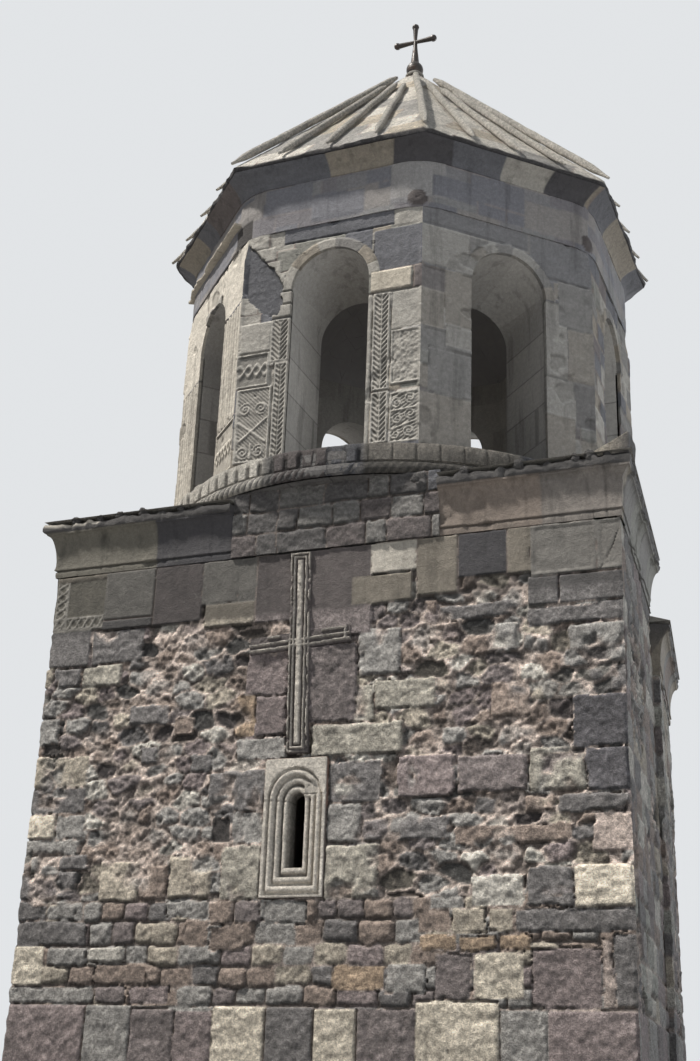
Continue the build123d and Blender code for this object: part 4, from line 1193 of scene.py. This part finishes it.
tone = pick_tones(hashed(np.floor(arc / 0.62), 3, 423), ["dark", "slate", "grey", "plum", "dark"])
tone = mixed(tone, 1.9 * tones["pale"], sunlit)
blocks = 0.55 * tones["tan"] + 0.5 * tones["grey"]
tone = mixed(tone, blocks * (1 - 0.5 * on_rope - 0.4 * upright * on_billet)[..., None], mended)
# Painted shade in the gaps between the billets and in the grooves between the rope's strands.
shade = (1 - 0.72 * np.where(on_billet, gap, 0) - 0.55 * np.where(on_rope, 1 - strand, 0))
tone = tone * (shade * (1 + 0.25 * noise(arc, up, 0.12, 426)))[..., None]
radius = podium_radius + out
add_piece("foot_ring", joined(radius * np.cos(turn), radius * np.sin(turn), up),
          sheet_quads(len(section), ring_cols, True, True), tone, rough_stone, "dark_ashlar")

# %% Stones of the podium between the cornice runs
podium_cols = int((podium_right_end - podium_left_end) / front_step)
podium_rows = int((podium_high[2] - cornice_z) / front_step)
podium_proud = 0.048
across, up = np.meshgrid(np.linspace(podium_left_end, podium_right_end, podium_cols),
                         np.linspace(cornice_z, podium_high[2], podium_rows))
depth, tone = small_courses(across, up, [5.68, 5.95, 6.20, 6.46], 0.40, 441,
                            ["dark", "slate", "plum", "grey", "dark", "grey"], 0.030, 0.044)
# Painted shade in the hollows, then painted light on the stone tops and painted shade beneath.
tone = painted_slope_light(1.7 * (depth + podium_proud), painted_hollow_shade(depth + 0.008, 1.25 * tone), front_step)
add_slab("podium_front_stones", joined(across, facade_y - np.maximum(depth + podium_proud, 0.002), up),
         joined(across, facade_y + 0.02, up), tone, rough_stone, "dark_ashlar")

# %% [markdown]
# ## Slit window and cross
#
# The window is cut in pale blocks: three orders step in towards the slit, each with a roll. All three
# follow one outline, square at the sill and round at the head, so one number tells everything: the
# distance of a point from the slit. The sheet runs round the slit and from the edge of the block inwards.
# The head and the jambs are separate stones, and one haunch is broken. The cross over it is an upright
# of nested ridges with one ridged strip for each arm, all worn.

# %% Window of three orders
slit_half, slit_sill, order_wide, order_deep = 0.089, window_low[2] + 0.292, 0.069, 0.022
slit_axis = (window_low[0] + window_high[0]) / 2
slit_spring = slit_sill + 0.648
window_face, roll_half, roll_high = 0.010, 0.023, 0.026


def slit_distance(across, up):
    """Distance from the outline of the slit: straight beside it, square below it and round over it.

    The orders are wider over the slit and widest under it, so the distance grows more slowly there.
    """
    beside = np.abs(across - slit_axis) - slit_half
    steep = 1 - 0.10 * smooth((up - slit_spring) / 0.2)
    over = np.hypot(across - slit_axis, (up - slit_spring) * steep) - slit_half
    return np.where(up > slit_spring, over, np.maximum(beside, 0.78 * (slit_sill - up)))


def window_height(across, up):
    """Height over the facade: a step down for each order, a roll on its inner part and a groove behind it."""
    distance = slit_distance(across, up)
    order = np.clip(np.floor(distance / order_wide), 0, 3)
    place = distance - order * order_wide
    groove = between(place, 2 * roll_half, order_wide, 0.005)
    roll = half_round(place - roll_half, roll_half)
    cut = -order_deep * (3 - order) + roll_high * roll - 0.010 * groove - 0.004
    height = np.where(order < 3, cut, 0.0) + window_face - 0.004
    haunch = np.hypot((across - slit_axis - 0.165) / 0.10, (up - slit_spring - 0.115) / 0.085)
    haunch = smooth((1.15 - haunch + 0.4 * noise(across, up, 0.06, 701)) / 0.5)
    height = height * (1 - haunch) + haunch * (-0.022 + 0.014 * noise(across, up, 0.035, 702))
    seam = slit_spring + np.where(across > slit_axis, 0.06, 0.0) + 0.004 * noise(across, 0 * up, 0.05, 703)
    height = height - 0.012 * smooth((0.007 - np.abs(up - seam)) / 0.004)
    edge = np.minimum(np.minimum(across - window_left, window_right - across),
                      np.minimum(up - window_low[2], window_high[2] - up))
    height = height - 0.012 * (1 - rounded(edge, 0.018 + 0.008 * noise(across, up, 0.1, 704)))
    height = height + waves(across, up, (0.005, 0.035, 705), (0.006, 0.14, 706))
    return np.minimum(height, window_face), haunch


def slit_loop(count_sill, count_jamb, count_head):
    """Matching points round the slit and round the block, anticlockwise from the left end of the sill."""
    sill = np.linspace(-1, 1, count_sill, endpoint=False)
    jamb = np.linspace(0, 1, count_jamb, endpoint=False)
    turn = np.linspace(0, math.pi, count_head, endpoint=False)
    wide, tall = (window_right - window_left) / 2, window_high[2] - slit_spring
    reach = np.minimum(wide / np.maximum(np.abs(np.cos(turn)), 1e-6), tall / np.maximum(np.sin(turn), 1e-6))

    def loop(half, foot, head_reach):
        drop = slit_spring - foot
        return np.concatenate([joined(slit_axis + sill * half, foot),
                               joined(slit_axis + half, foot + jamb * drop),
                               joined(slit_axis + head_reach * np.cos(turn),
                                      slit_spring + head_reach * np.sin(turn)),
                               joined(slit_axis - half, slit_spring - jamb * drop)])

    return loop(slit_half, slit_sill, slit_half), loop(wide, window_low[2], reach)


near, far = slit_loop(26, 56, 72)
face_rows = 44
share = np.linspace(1, 0, face_rows)[:, None, None]
plan = near[None] * (1 - share) + far[None] * share
across, up = plan[..., 0], plan[..., 1]
height, haunch = window_height(across, up)
window_back = window_high[1]
behind = np.full((1, len(near)), window_back)
out = np.concatenate([behind, facade_y - height, (facade_y - height[-1:] + window_back) / 2, behind])
window_points = joined(np.concatenate([across[:1], across, across[-1:], across[-1:]]), out,
                       np.concatenate([up[:1], up, up[-1:], up[-1:]]))
# Painted shade in the hollows of the orders, with a random grain.
shade = painted_hollow_shade(height * 0.9 + 0.012, np.ones(3)) * (1 + 0.20 * noise(across, up, 0.12, 711))[..., None]
# The dark tones of the reveal are the stone's brown, reddish at the head, darkened as painted shade.
in_head = smooth((near[None, :, 1] - slit_spring + 0.08) / 0.05)
reveal_shade_tone = mixed(tones["reveal"], tones["reveal_head"], in_head)
tone = shade * tones["window"] * (1 - 0.15 * haunch)[..., None]
tone[0] = 0.15 * tone[0] + 0.85 * reveal_shade_tone[0]
# In the sheet's tones the rows that turn back into the slit are painted darker, as shade.
add_piece("window_orders", window_points, sheet_quads(len(window_points), len(near), True, True),
          np.concatenate([reveal_shade_tone, tone, 0.55 * tone[-1:], 0.5 * tone[-1:]]), worn_carving,
          "pale_carved_stone", ("slit_window_frame",))

# %% Cross in relief
upright_half, arm_z, arm_reach = 0.115, cornice_z - 1.01, (cross_high[0] - cross_low[0]) / 2
arm_low, arm_high = -0.062, 0.115
cross_lean, arm_rise = 0.026, 0.060


def cross_height(across, up):
    """Height over the facade: two nested ridges and a middle band on the upright, thin ridges on the arms.

    The outer ridge is broken into beads. The arms have two ridges, and parts of a third one over them.
    """
    level, beside = up - arm_z, across - slit_axis
    edge = np.minimum(upright_half - np.abs(beside), np.minimum(up - cross_low[2], cross_high[2] - up))
    beads = smooth(1.5 * noise(across * 0.2, up, 0.09, 725, 3) + 0.8)
    ridge = np.maximum(half_round(edge - 0.014, 0.013) * beads, half_round(edge - 0.050, 0.012))
    ridge = np.maximum(ridge, 0.95 * rounded(edge - 0.082, 0.020))
    upright = np.where(np.abs(beside) < upright_half, ridge, 0)
    third = ((beside > -0.36) & (beside < -0.22)) | ((beside > 0.24) & (beside < 0.52))
    arms = np.maximum(half_round(level - 0.030, 0.016), half_round(level + 0.030, 0.016))
    arms = np.maximum(arms, half_round(level - 0.092, 0.014) * third)
    arms = np.maximum(arms, half_round(beside - 0.505, 0.014) * (level > -0.03))
    arms = arms * (0.7 + 0.3 * smooth(2 * noise(across, up, 0.07, 726) + 0.7))
    knob = half_round(np.hypot(beside, level + 0.005), 0.05)
    high = np.maximum(np.maximum(upright, arms * (level > arm_low) * (level < arm_high)), knob)
    worn = smooth((noise(across, up, 0.20, 721) - 0.02) / 0.35)
    rough = waves(across, up, (0.009, 0.045, 722), (0.005, 0.02, 723, 2))
    return np.clip(0.002 + 0.036 * high * (1 - 0.60 * worn) + rough, -0.004, 0.0395), high * (1 - 0.35 * worn)


def cross_sheet(name, left, right, low, high, rise=0.0, replaces=()):
    """A slab of the cross on part of the facade, leaning as a whole; the arms also rise to the right."""
    step = 0.0095
    across, up = np.meshgrid(np.linspace(left, right, int((right - left) / step) + 1),
                             np.linspace(low, high, int((high - low) / step) + 1))
    height, ridge = cross_height(across, up)
    # The ridges are painted pale and the ground between them plum: painted light on the raised relief,
    # painted shade in the grooves.
    tone = mixed(tones["plum"], 0.85 * tones["window"], ridge)
    tone = tone * (1 + 0.25 * noise(across, up, 0.06, 724))[..., None]
    leaned, raised = across - cross_lean * (up - cross_low[2]), up + rise * (across - slit_axis)
    add_slab(name, joined(leaned, facade_y - height, raised),
             joined(leaned, facade_y + facing_depth + 0.02, raised), tone, worn_carving,
             "pale_carved_stone", replaces)


cross_sheet("cross_upright", slit_axis - upright_half, slit_axis + upright_half, cross_low[2], cross_high[2],
            replaces=("relief_cross",))
cross_sheet("cross_arm_right", slit_axis + upright_half, slit_axis + arm_reach, arm_z + arm_low,
            arm_z + arm_high, arm_rise)
cross_sheet("cross_arm_left", slit_axis - arm_reach, slit_axis - upright_half, arm_z + arm_low,
            arm_z + arm_high, arm_rise)

# %% [markdown]
# ## Flared course, roof slabs and rolls
#
# Under the eave the masonry flares out to carry the slabs, from the rounded outline of the band to the
# sharp octagon of the roof. The roof is laid with long stone slabs, and stone rolls cover their joints:
# one on each hip, up to the cap, and three on each face, which stop short of it at uneven heights.
# Their lower ends stand out as lumps along the eave, which is thin and ragged, with its edge and underside
# painted dark as shade.

# %% Flared course under the eave
eave_apothem, eave_top, roof_apex, cap_reach = 2.935, band_top + 0.09, 13.99, 0.12


def octagon(run, reach):
    """Plan points of a sharp octagon with the given apothem, from the same distance as the band's."""
    eighth = np.floor(run / band_side + 0.5)
    return turned(face_angle(eighth), reach, (run / band_side - eighth) * 2 * reach * math.tan(corner_turn))


course_blocks = [("slate", -0.50, -0.05), ("tan", -0.05, 0.73), ("black", 0.73, 1.42), ("slate", 1.42, 2.05),
                 ("pale", 2.05, 2.62), ("black", 2.62, 3.20), ("slate", -1.30, -0.50), ("plum", -2.1, -1.30)]
run, share = np.meshgrid(once_round, np.linspace(0, 1, 12))
height, tone = small_courses(run, share * 0.2 + 0.02, [-0.2, 0.6], 0.62, 431,
                             ["slate", "black", "tan", "slate"], 0.010, 0.012)
for name, left, right in course_blocks:
    inside, beside, _ = within(run, share, left, right, -1, 2)
    height[inside] = -0.012 + 0.010 * rounded(beside, 0.012)
    tone[inside] = tones[name] * (1 + 0.2 * noise(run[inside], share[inside], 0.2, 432))[..., None]
height = 0.016 + height + 0.004 * noise(run, share, 0.07, 433)
plan, normal = band_outline(run)
up = band_top - 0.17 + share ** 0.85 * 0.195
flared = mixed(plan + normal * (0.016 + height[..., None]),
               octagon(run, eave_apothem - 0.075 + height), share ** 1.5)
add_piece("flared_course", *closed_ring(flared, up, tone, plan[0] - normal[0] * 0.06), carved_stone,
          "drum_ashlar")

# %% Roof slabs
roof_cols, roof_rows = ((440, 96))
run, row = np.meshgrid(np.linspace(0, 8 * band_side, roof_cols, endpoint=False) - 4 * band_side,
                       np.linspace(0, 1, roof_rows))
reach = eave_apothem - 0.02 + (cap_reach - eave_apothem) * row
slope_length = math.hypot(eave_apothem, roof_apex - eave_top)
metres = (run / band_side) * 2 * reach * math.tan(corner_turn) + 7 * np.floor(run / band_side + 0.5)
relief, tone = small_courses(metres, row * slope_length, np.arange(-0.1, 5.0, 0.56), 0.75, 501,
                             ["pale", "grey", "pale", "tan", "pale"], 0.012, 0.014)
# The roof faces towards the key light, on the left and the front, are painted lighter as sunlight.
painted_sunlit_faces = between(run, -2.5 * band_side, 0.5 * band_side, 0.3, 0.1)
tone = 1.95 * tone * ((1 + 0.30 * noise(metres, row * 5, 0.22, 502)) * (1 + 0.55 * painted_sunlit_faces))[..., None]
# The first row at the eave is painted dark as shade on the eave's edge.
tone[0] = tones["dark"]
ragged = smooth(1 - row / 0.02) * (waves(run, row, (0.030, 0.13, 504), (0.018, 0.5, 505)) - 0.02)
up = eave_top - 0.010 + (roof_apex - eave_top) * (1 - (reach + 0.02) / eave_apothem) + relief
up = up + 0.006 * noise(metres, row * 5, 0.12, 503)
edge_plan = octagon(run[0], eave_apothem - 0.035 + ragged[0])
under_reach = 2.4
roof_points = np.concatenate([lifted(octagon(run[0], under_reach), eave_top - 0.062)[None],
                              lifted(edge_plan, eave_top - 0.055)[None],
                              lifted(octagon(run, reach + ragged), up)])
roof_quads, roof_ends = tubes(1, len(roof_points), roof_cols)
# The two rows of the underside are painted black as shade under the eave.
roof_tone = np.concatenate([np.broadcast_to(tones["black"], (2, roof_cols, 3)), tone])
add_piece("roof_slabs", roof_points, roof_quads, roof_tone, rough_stone, "roof_stone", ("roof",), roof_ends)

# %% Rolls on the hips and faces
roll_count, roll_steps, roll_sides, roll_radius = 32, 46, 12, 0.042
hip_end, face_end, end_spread = 0.935, 0.80, 0.07
number, step, side = np.meshgrid(np.arange(roll_count), np.linspace(0, 1, roll_steps), np.arange(roll_sides),
                                 indexing="ij")
hip = number % 4 == 2
reach = (0.17 - eave_apothem) * step * np.where(hip, hip_end, face_end - end_spread * hashed(number, 3, 514))
reach = eave_apothem - 0.012 + reach
around = 2 * np.pi * side / roll_sides
radius = roll_radius * (1 + 0.12 * noise(step * 9, number + around, 0.5, 512)) * np.where(hip, 1.15, 1.0)
radius = radius * (0.35 + 0.65 * smooth(step / 0.09)) * (0.5 + 0.5 * smooth((1 - step) / 0.05))
fall = math.atan2(roof_apex - eave_top, eave_apothem)
across = ((number + 2) % 4 - 2) / 2 * reach * math.tan(corner_turn) + np.cos(around) * radius
across = across + 0.016 * noise(number * 3.7 + step * 4, number * 1.3, 0.8, 511, 2)
out = reach + np.sin(around) * radius * math.sin(fall)
plan = turned(face_angle(np.floor((number + 2) / 4)), out, across)
up = eave_top + (roof_apex - eave_top) * (1 - reach / eave_apothem) + 0.022
up = up + np.sin(around) * radius * math.cos(fall)
roll_quads, roll_ends = tubes(roll_count, roll_steps, roll_sides)
add_piece("roof_rolls", lifted(plan, up), roll_quads,
          (1.70 + 0.25 * noise(step * 12, number * 2.0, 0.6, 513))[..., None] * tones["pale"], rough_stone,
          "roof_stone", caps=roll_ends)

# %% [markdown]
# ## Cornices of the base
#
# A cornice is one closed profile carried along the top of the walls: a small fillet, a straight face, a
# cavetto and a lip, cut in blocks of uneven tone, and a thin slab on them whose edge is broken, painted
# dark as its shade. At a corner the profile is spread by the mitre, so both runs meet there. The ends of
# the stone rolls that cover the slab joints stand up from the edge.

# %% Cornice profile and runs
cavetto = [(0.006 + 0.094 * (1 - math.cos(a)), 0.14 + 0.35 * math.sin(a))
           for a in np.linspace(0, math.pi / 2, 11)]
cornice_section = np.array([(-0.28, 0.0), (-0.004, 0.0), (0.0, 0.03), (0.0, 0.060), (-0.010, 0.070),
                            (-0.010, 0.078), (0.012, 0.086), (0.014, 0.096), (0.008, 0.110), *cavetto,
                            (0.104, 0.505), (0.120, 0.512), (0.128, 0.530), (0.130, 0.556), (0.124, 0.584),
                            (0.120, 0.602), (0.04, 0.612), (-0.05, 0.625), (-0.28, 0.630)])
first_slab_row, last_edge_row, cornice_crease = 21, 23, 50


def run_frame(corners, step, end_directions):
    """Points along a bent line with the direction of the profile at each: normal, or mitred at a corner."""
    corners = [np.array(corner, float) for corner in corners]
    base, direction = [], []
    for start, end in zip(corners, corners[1:]):
        length = np.hypot(*(end - start))
        share = np.linspace(0, 1, int(length / step))[:, None]
        base.append(start + (end - start) * share)
        direction.append(np.array([end[1] - start[1], start[0] - end[0]]) / length + 0 * share)
    for number in range(1, len(base)):
        both = direction[number - 1][-1] + direction[number][0]
        direction[number][0] = 2 * both / (both @ both)
        base[number - 1], direction[number - 1] = base[number - 1][:-1], direction[number - 1][:-1]
    base, direction = np.concatenate(base), np.concatenate(direction)
    for place, way in zip((0, -1), end_directions):
        if way is not None:
            direction[place] = np.array(way) / (np.array(way) @ direction[place])
    return base, direction, np.concatenate([[0], np.cumsum(np.hypot(*(base[1:] - base[:-1]).T))])


def cornice(name, corners, step, low, seed, replaces, end_directions, joints=(), names=()):
    """One run of cornice: the profile with its joints, wear and broken slab at every place on the line.

    joints and names are the joints of the blocks on the facade and their tones; elsewhere the blocks
    are even.
    """
    base, direction, distance = run_frame(corners, step, end_directions)
    along, row = np.meshgrid(distance, np.arange(len(cornice_section)))
    out, up = cornice_section[row, 0], cornice_section[row, 1]
    inner_rim = (row == 0) | (row == len(cornice_section) - 1)
    on_slab = row >= first_slab_row
    beside, _, _, stone = courses(along, np.where(on_slab, 0.6, 0.2), [0.0, 0.49, 0.7], 0.62, seed)
    tone = pick_tones(hashed(stone, on_slab, seed + 6), ["tan", "green", "grey", "tan", "brown", "grey"])
    if names:
        x = np.broadcast_to(base[:, 0], along.shape)
        on_front = (base[:, 1] < 0.001 - half_depth) & ~on_slab
        block = np.clip(np.searchsorted(joints, x) - 1, 0, len(names) - 1)
        tone = mixed(tone, np.stack([tones[name] for name in names])[block], on_front)
        beside = np.where(on_front, np.min(np.abs(x[..., None] - np.array(joints)), axis=-1), beside)
    joint = 1 - rounded(np.abs(beside) - 0.002, 0.014)
    worn = smooth((noise(along, up * 1.5, 0.40, seed + 1) - 0.22) / 0.2)
    out = out - (0.012 * joint + 0.022 * worn * ~on_slab) * (row > 1)
    out = out + 0.005 * noise(along, up, 0.06, seed + 2)
    broken = 0.030 * (noise(along, 0 * up, 0.16, seed + 3) - 0.2) + 0.02 * noise(along, up, 0.05, seed + 4)
    out = np.where(on_slab & (cornice_section[row, 0] > 0.1), np.minimum(out + broken, 0.142), out)
    lump = 0.026 * half_round((along % 0.46) - 0.23, 0.045) + 0.012 * noise(along, up, 0.12, seed + 5) - 0.010
    lumpy = on_slab & (cornice_section[row, 1] > 0.55) & ~inner_rim
    up = np.clip(up + np.where(lumpy, lump, 0), 0, 0.638)
    out = np.where(inner_rim, cornice_section[row, 0], np.clip(out, -0.3, 0.139))
    # The slab is painted dark: painted shade on the eave's edge and underside.
    tone = mixed(tone, 0.8 * tones["dark"], on_slab)
    # On the left run the top of the slab over the first blocks is painted bright as sunlight.
    if "olive" in names:
        tone = mixed(tone, tones["bright"], on_slab & (base[:, 0] < joints[1]) & (row > last_edge_row))
    # The groove over the fillet, rows 4 and 5, is painted darker as shade.
    tone = mixed(tone, 0.65 * tone, (row > 3) & (row < 6))
    shade = 1 + 0.14 * noise(along, up, 0.18, seed + 7) - 0.45 * joint - 0.20 * worn
    quads, ends = carried_profile(*row.shape)
    add_piece(name, lifted(base + direction * out[..., None], low + up), quads,
              0.88 * tone * shade[..., None], carved_stone, "cornice_stone", replaces, ends, cornice_crease)


front_corner, step_corner = (half_front, -half_depth), (half_front_step, step_y)
front_run_step, back_run_step = 0.024, 0.045
cornice("cornice_front_right", [(podium_right_end, -half_depth), front_corner, step_corner], front_run_step,
        cornice_z, 601, ("front_right_cornice",), (None, (1, 0)), [0.0, 1.27, 2.41, 3.05, 3.4],
        ["tan", "cornice_brown", "cornice_tan", "cornice_tan"])
cornice("cornice_front_left", [(-half_front_step, step_y), (-half_front, -half_depth),
                               (podium_left_end, -half_depth)], front_run_step, cornice_z, 631,
        ("front_left_cornice",), ((-1, 0), None), [-3.4, -2.62, -1.92, -1.25, 0.0],
        ["olive", "olive", "black", "black"])
cornice("cornice_back", [(half_rear_step, step_y), (half_back, half_depth), (-half_back, half_depth),
                         (-half_rear_step, step_y)], back_run_step, rear_cornice_z, 661, ("back_cornice",),
        ((1, 0), (-1, 0)))

# %% Lumps on the eaves and a raised slab at the corner
lump_places = np.array([-2.95, -2.64, -2.39, -2.09, -1.62, 1.10, 1.62, 2.19, 2.77, 2.92, 3.09])
lump_rows, lump_cols = 9, 14
number, row, col = np.meshgrid(np.arange(len(lump_places)), np.linspace(-1, 1, lump_rows),
                               np.arange(lump_cols), indexing="ij")
around, level = 2 * np.pi * col / lump_cols, np.sin(row * np.pi / 2 * 0.98)
uneven = 1 + 0.5 * noise(number * 3 + level * 2, around, 0.9, 682)
swell = 0.050 * (0.8 + 0.5 * hashed(number, 2, 681)) * uneven
wide = np.sqrt(1 - level ** 2) * swell
lump_quads, lump_ends = tubes(len(lump_places), lump_rows, lump_cols)
# The lumps are painted dark, like the shaded edge of the eave.
add_piece("eave_lumps", joined(lump_places[number] + wide * np.cos(around),
                               facade_y - 0.085 + 0.9 * wide * np.sin(around),
                               eave_z - 0.015 + 0.9 * swell * level),
          lump_quads, tones["dark"], rough_stone, "roof_stone", caps=lump_ends)

raised_outline = np.array([(2.88, 0.0), (3.30, 0.0), (3.315, 0.200), (3.305, 0.222), (2.88, 0.012)])
side_points, layers, first_on_top = 8, 9, 24
raised_edge = np.concatenate([np.linspace(start, end, side_points, endpoint=False)
                              for start, end in zip(raised_outline, np.roll(raised_outline, -1, axis=0))])
place, layer = np.meshgrid(np.arange(len(raised_edge)), np.linspace(0, 1, layers))
jitter = 0.012 * noise(place * 0.05, layer, 0.15, 684)
# The left part is painted pale as sunlight, the right part dark as shadow, and the top edge cream as its
# sunlit edge.
tone = mixed(tones["dark"], tones["pale"], raised_edge[place, 0] < 3.13)
tone = mixed(tone, 1.5 * tones["cream"], place >= first_on_top)
raised_quads, raised_ends = tubes(1, layers, len(raised_edge))
add_piece("raised_slab", joined(raised_edge[place, 0] + jitter, facade_y - 0.09 + 0.34 * layer,
                                eave_z - 0.02 + raised_edge[place, 1] + jitter), raised_quads[:, ::-1],
          tone * (1 + 0.3 * noise(place * 0.1, layer, 0.2, 685))[..., None], rough_stone, "roof_stone",
          caps=[end[::-1] for end in raised_ends])

# %% [markdown]
# ## Finishes of the solids
#
# Every solid that stays in view gets its own stone, plaster or metal. A solid has no tones of its own,
# so its finish starts from one plain colour.

# %% Finishes for the solids
plain_finishes = {
    "drum_ashlar": stone_finish("drum_ashlar_stone", (0.37, 0.352, 0.325), spread=0.35, stain=0.3,
                                bump=0.004, laid=(0.45, 0.8, 2.6, 8.70)),
    "dark_ashlar": stone_finish("dark_ashlar_stone", (0.15, 0.142, 0.136), spread=0.8, bump=0.018,
                                laid=(0.245, 0.5, 2.85)),
    "rubble_walls": stone_finish("rubble_core_stone", (0.20, 0.17, 0.15), spread=0.6, pitted=0.8, bump=0.02),
    "pale_carved_stone": stone_finish("pale_carved_stone", (0.27, 0.252, 0.222), spread=0.7, pitted=0.7,
                                      bump=0.014, stain=0.25),
    "cornice_stone": stone_finish("cornice_stone", (0.27, 0.25, 0.20), spread=0.35, pitted=0.3, bump=0.004),
    "roof_stone": stone_finish("roof_slab_stone", (0.24, 0.225, 0.20), spread=0.6, pitted=0.6, bump=0.012),
    "plastered_stone": plaster_finish("rough_plaster", (0.31, 0.295, 0.29)),
    "floor_stone": stone_finish("worn_floor_stone", (0.28, 0.265, 0.24), spread=0.4),
    "dark_metal": metal_finish("weathered_iron"),
}
slot_of = {part["node"]: part["material_slot"] for part in frame["record"]["subparts"]}
for node_name, node in frame["nodes"].items():
    finish = plain_finishes[slot_of[node_name]]
    node.data.materials.clear()
    node.data.materials.append(finish)
    print(node_name, finish.name)

# %% [markdown]
# ## Floor, light and camera
#
# The camera stands low and to the right of the axis and looks up, as in the photograph. A soft sun from
# the upper left rakes the facade, so that the upper edges of the stones are bright and their undersides
# dark, and two large weak lamps fill the front and the back. The floor and the background are pale only
# for camera rays and for those of gloss and clear things. All other rays meet a darker floor and a
# dimmer, bluer sky.

# %% Floor, light and camera
scene = bpy.context.scene
scene.view_settings.view_transform = "Standard"


def seen_rays(tree):
    """1 for the rays that show a background: those of the camera, of gloss and of clear things."""
    rays = tree.nodes.new("ShaderNodeLightPath")
    camera_ray, glossy_ray, clear_ray = (Wire(tree, rays.outputs[f"Is {kind} Ray"])
                                         for kind in ("Camera", "Glossy", "Transmission"))
    return camera_ray.combine("MAXIMUM", glossy_ray).combine("MAXIMUM", clear_ray)


floor_reach = 400
floor_mesh = bpy.data.meshes.new("floor")
floor_mesh.from_pydata([(-floor_reach, -floor_reach, 0), (floor_reach, -floor_reach, 0),
                        (floor_reach, floor_reach, 0), (-floor_reach, floor_reach, 0)], [], [(0, 1, 2, 3)])
floor = bpy.data.objects.new("floor", floor_mesh)
scene.collection.objects.link(floor)
floor_material = bpy.data.materials.new("pale_floor")
floor_material.use_nodes = True
floor_tree = floor_material.node_tree
floor_inputs = floor_tree.nodes["Principled BSDF"].inputs
dim_floor, added_when_seen = 0.28, 0.22
floor_tone = seen_rays(floor_tree) * added_when_seen + dim_floor
floor_tree.links.new(floor_tone.socket, floor_inputs["Base Color"])
floor_inputs["Roughness"].default_value = 0.9
floor_mesh.materials.append(floor_material)


def aimed_light(kind, name, place, target, power, tint, **settings):
    """A soft lamp at a place, turned to a target; the settings give its size or the angle it fills."""
    lamp = bpy.data.lights.new(name, kind)
    lamp.energy, lamp.color = power, tint
    for key, value in settings.items():
        setattr(lamp, key, value)
    holder = bpy.data.objects.new(name, lamp)
    scene.collection.objects.link(holder)
    back = np.array(place, float) - np.array(target, float)
    back /= np.linalg.norm(back)
    right = np.cross((0, 0, 1), back)
    right /= np.linalg.norm(right)
    up = np.cross(back, right)
    holder.matrix_world = Matrix([[right[k], up[k], back[k], place[k]] for k in range(3)] + [[0, 0, 0, 1]])


aimed_light("SUN", "key_light", (-14.0, -12.0, 30.0), (0, -2.5, 7), 5.4, (1.0, 0.965, 0.91),
            angle=math.radians(5))
aimed_light("AREA", "fill_light", (16.0, -14.0, 6.0), (0, 0, 6), 1100, (0.90, 0.95, 1.0), size=12.0)
aimed_light("AREA", "back_fill_light", (12.0, 20.0, 10.0), (0, 0, 6), 2600, (0.92, 0.96, 1.0), size=14.0)

world = bpy.data.worlds.new("pale_sky")
scene.world = world
world.use_nodes = True
tree = world.node_tree
tree.nodes.clear()
blue_sky, pale_sky = (0.62, 0.68, 0.78, 1), (0.80, 0.82, 0.84, 1)
dim_sky, added_to_sky = 0.33, 0.62
seen = seen_rays(tree)
sky = Wire(tree, tree.nodes.new("ShaderNodeRGB").outputs[0])
sky.socket.default_value = blue_sky
shown = sky.toward(pale_sky, seen)
lit = sky.node("ShaderNodeBackground", {"Color": shown, "Strength": seen * added_to_sky + dim_sky})
output = tree.nodes.new("ShaderNodeOutputWorld")
tree.links.new(lit.socket, output.inputs["Surface"])

camera_place, camera_turn, camera_tilt, camera_roll = (5.677, -15.59, 0.24), 0.390, 0.383, 0.037
lens_mm, sensor_mm = 49.11, 36.0
camera_data = bpy.data.cameras.new("camera")
camera_data.lens, camera_data.sensor_width = lens_mm, sensor_mm
camera = bpy.data.objects.new("camera", camera_data)
scene.collection.objects.link(camera)
camera.matrix_world = (Matrix.Translation(camera_place) @ Matrix.Rotation(camera_turn, 4, "Z")
                       @ Matrix.Rotation(math.pi / 2 + camera_tilt, 4, "X")
                       @ Matrix.Rotation(camera_roll, 4, "Z"))
scene.camera = camera

# %% Total of the added triangles
total = sum(built.values())
print("added triangles:", total, "largest", max(built.items(), key=lambda item: item[1]))
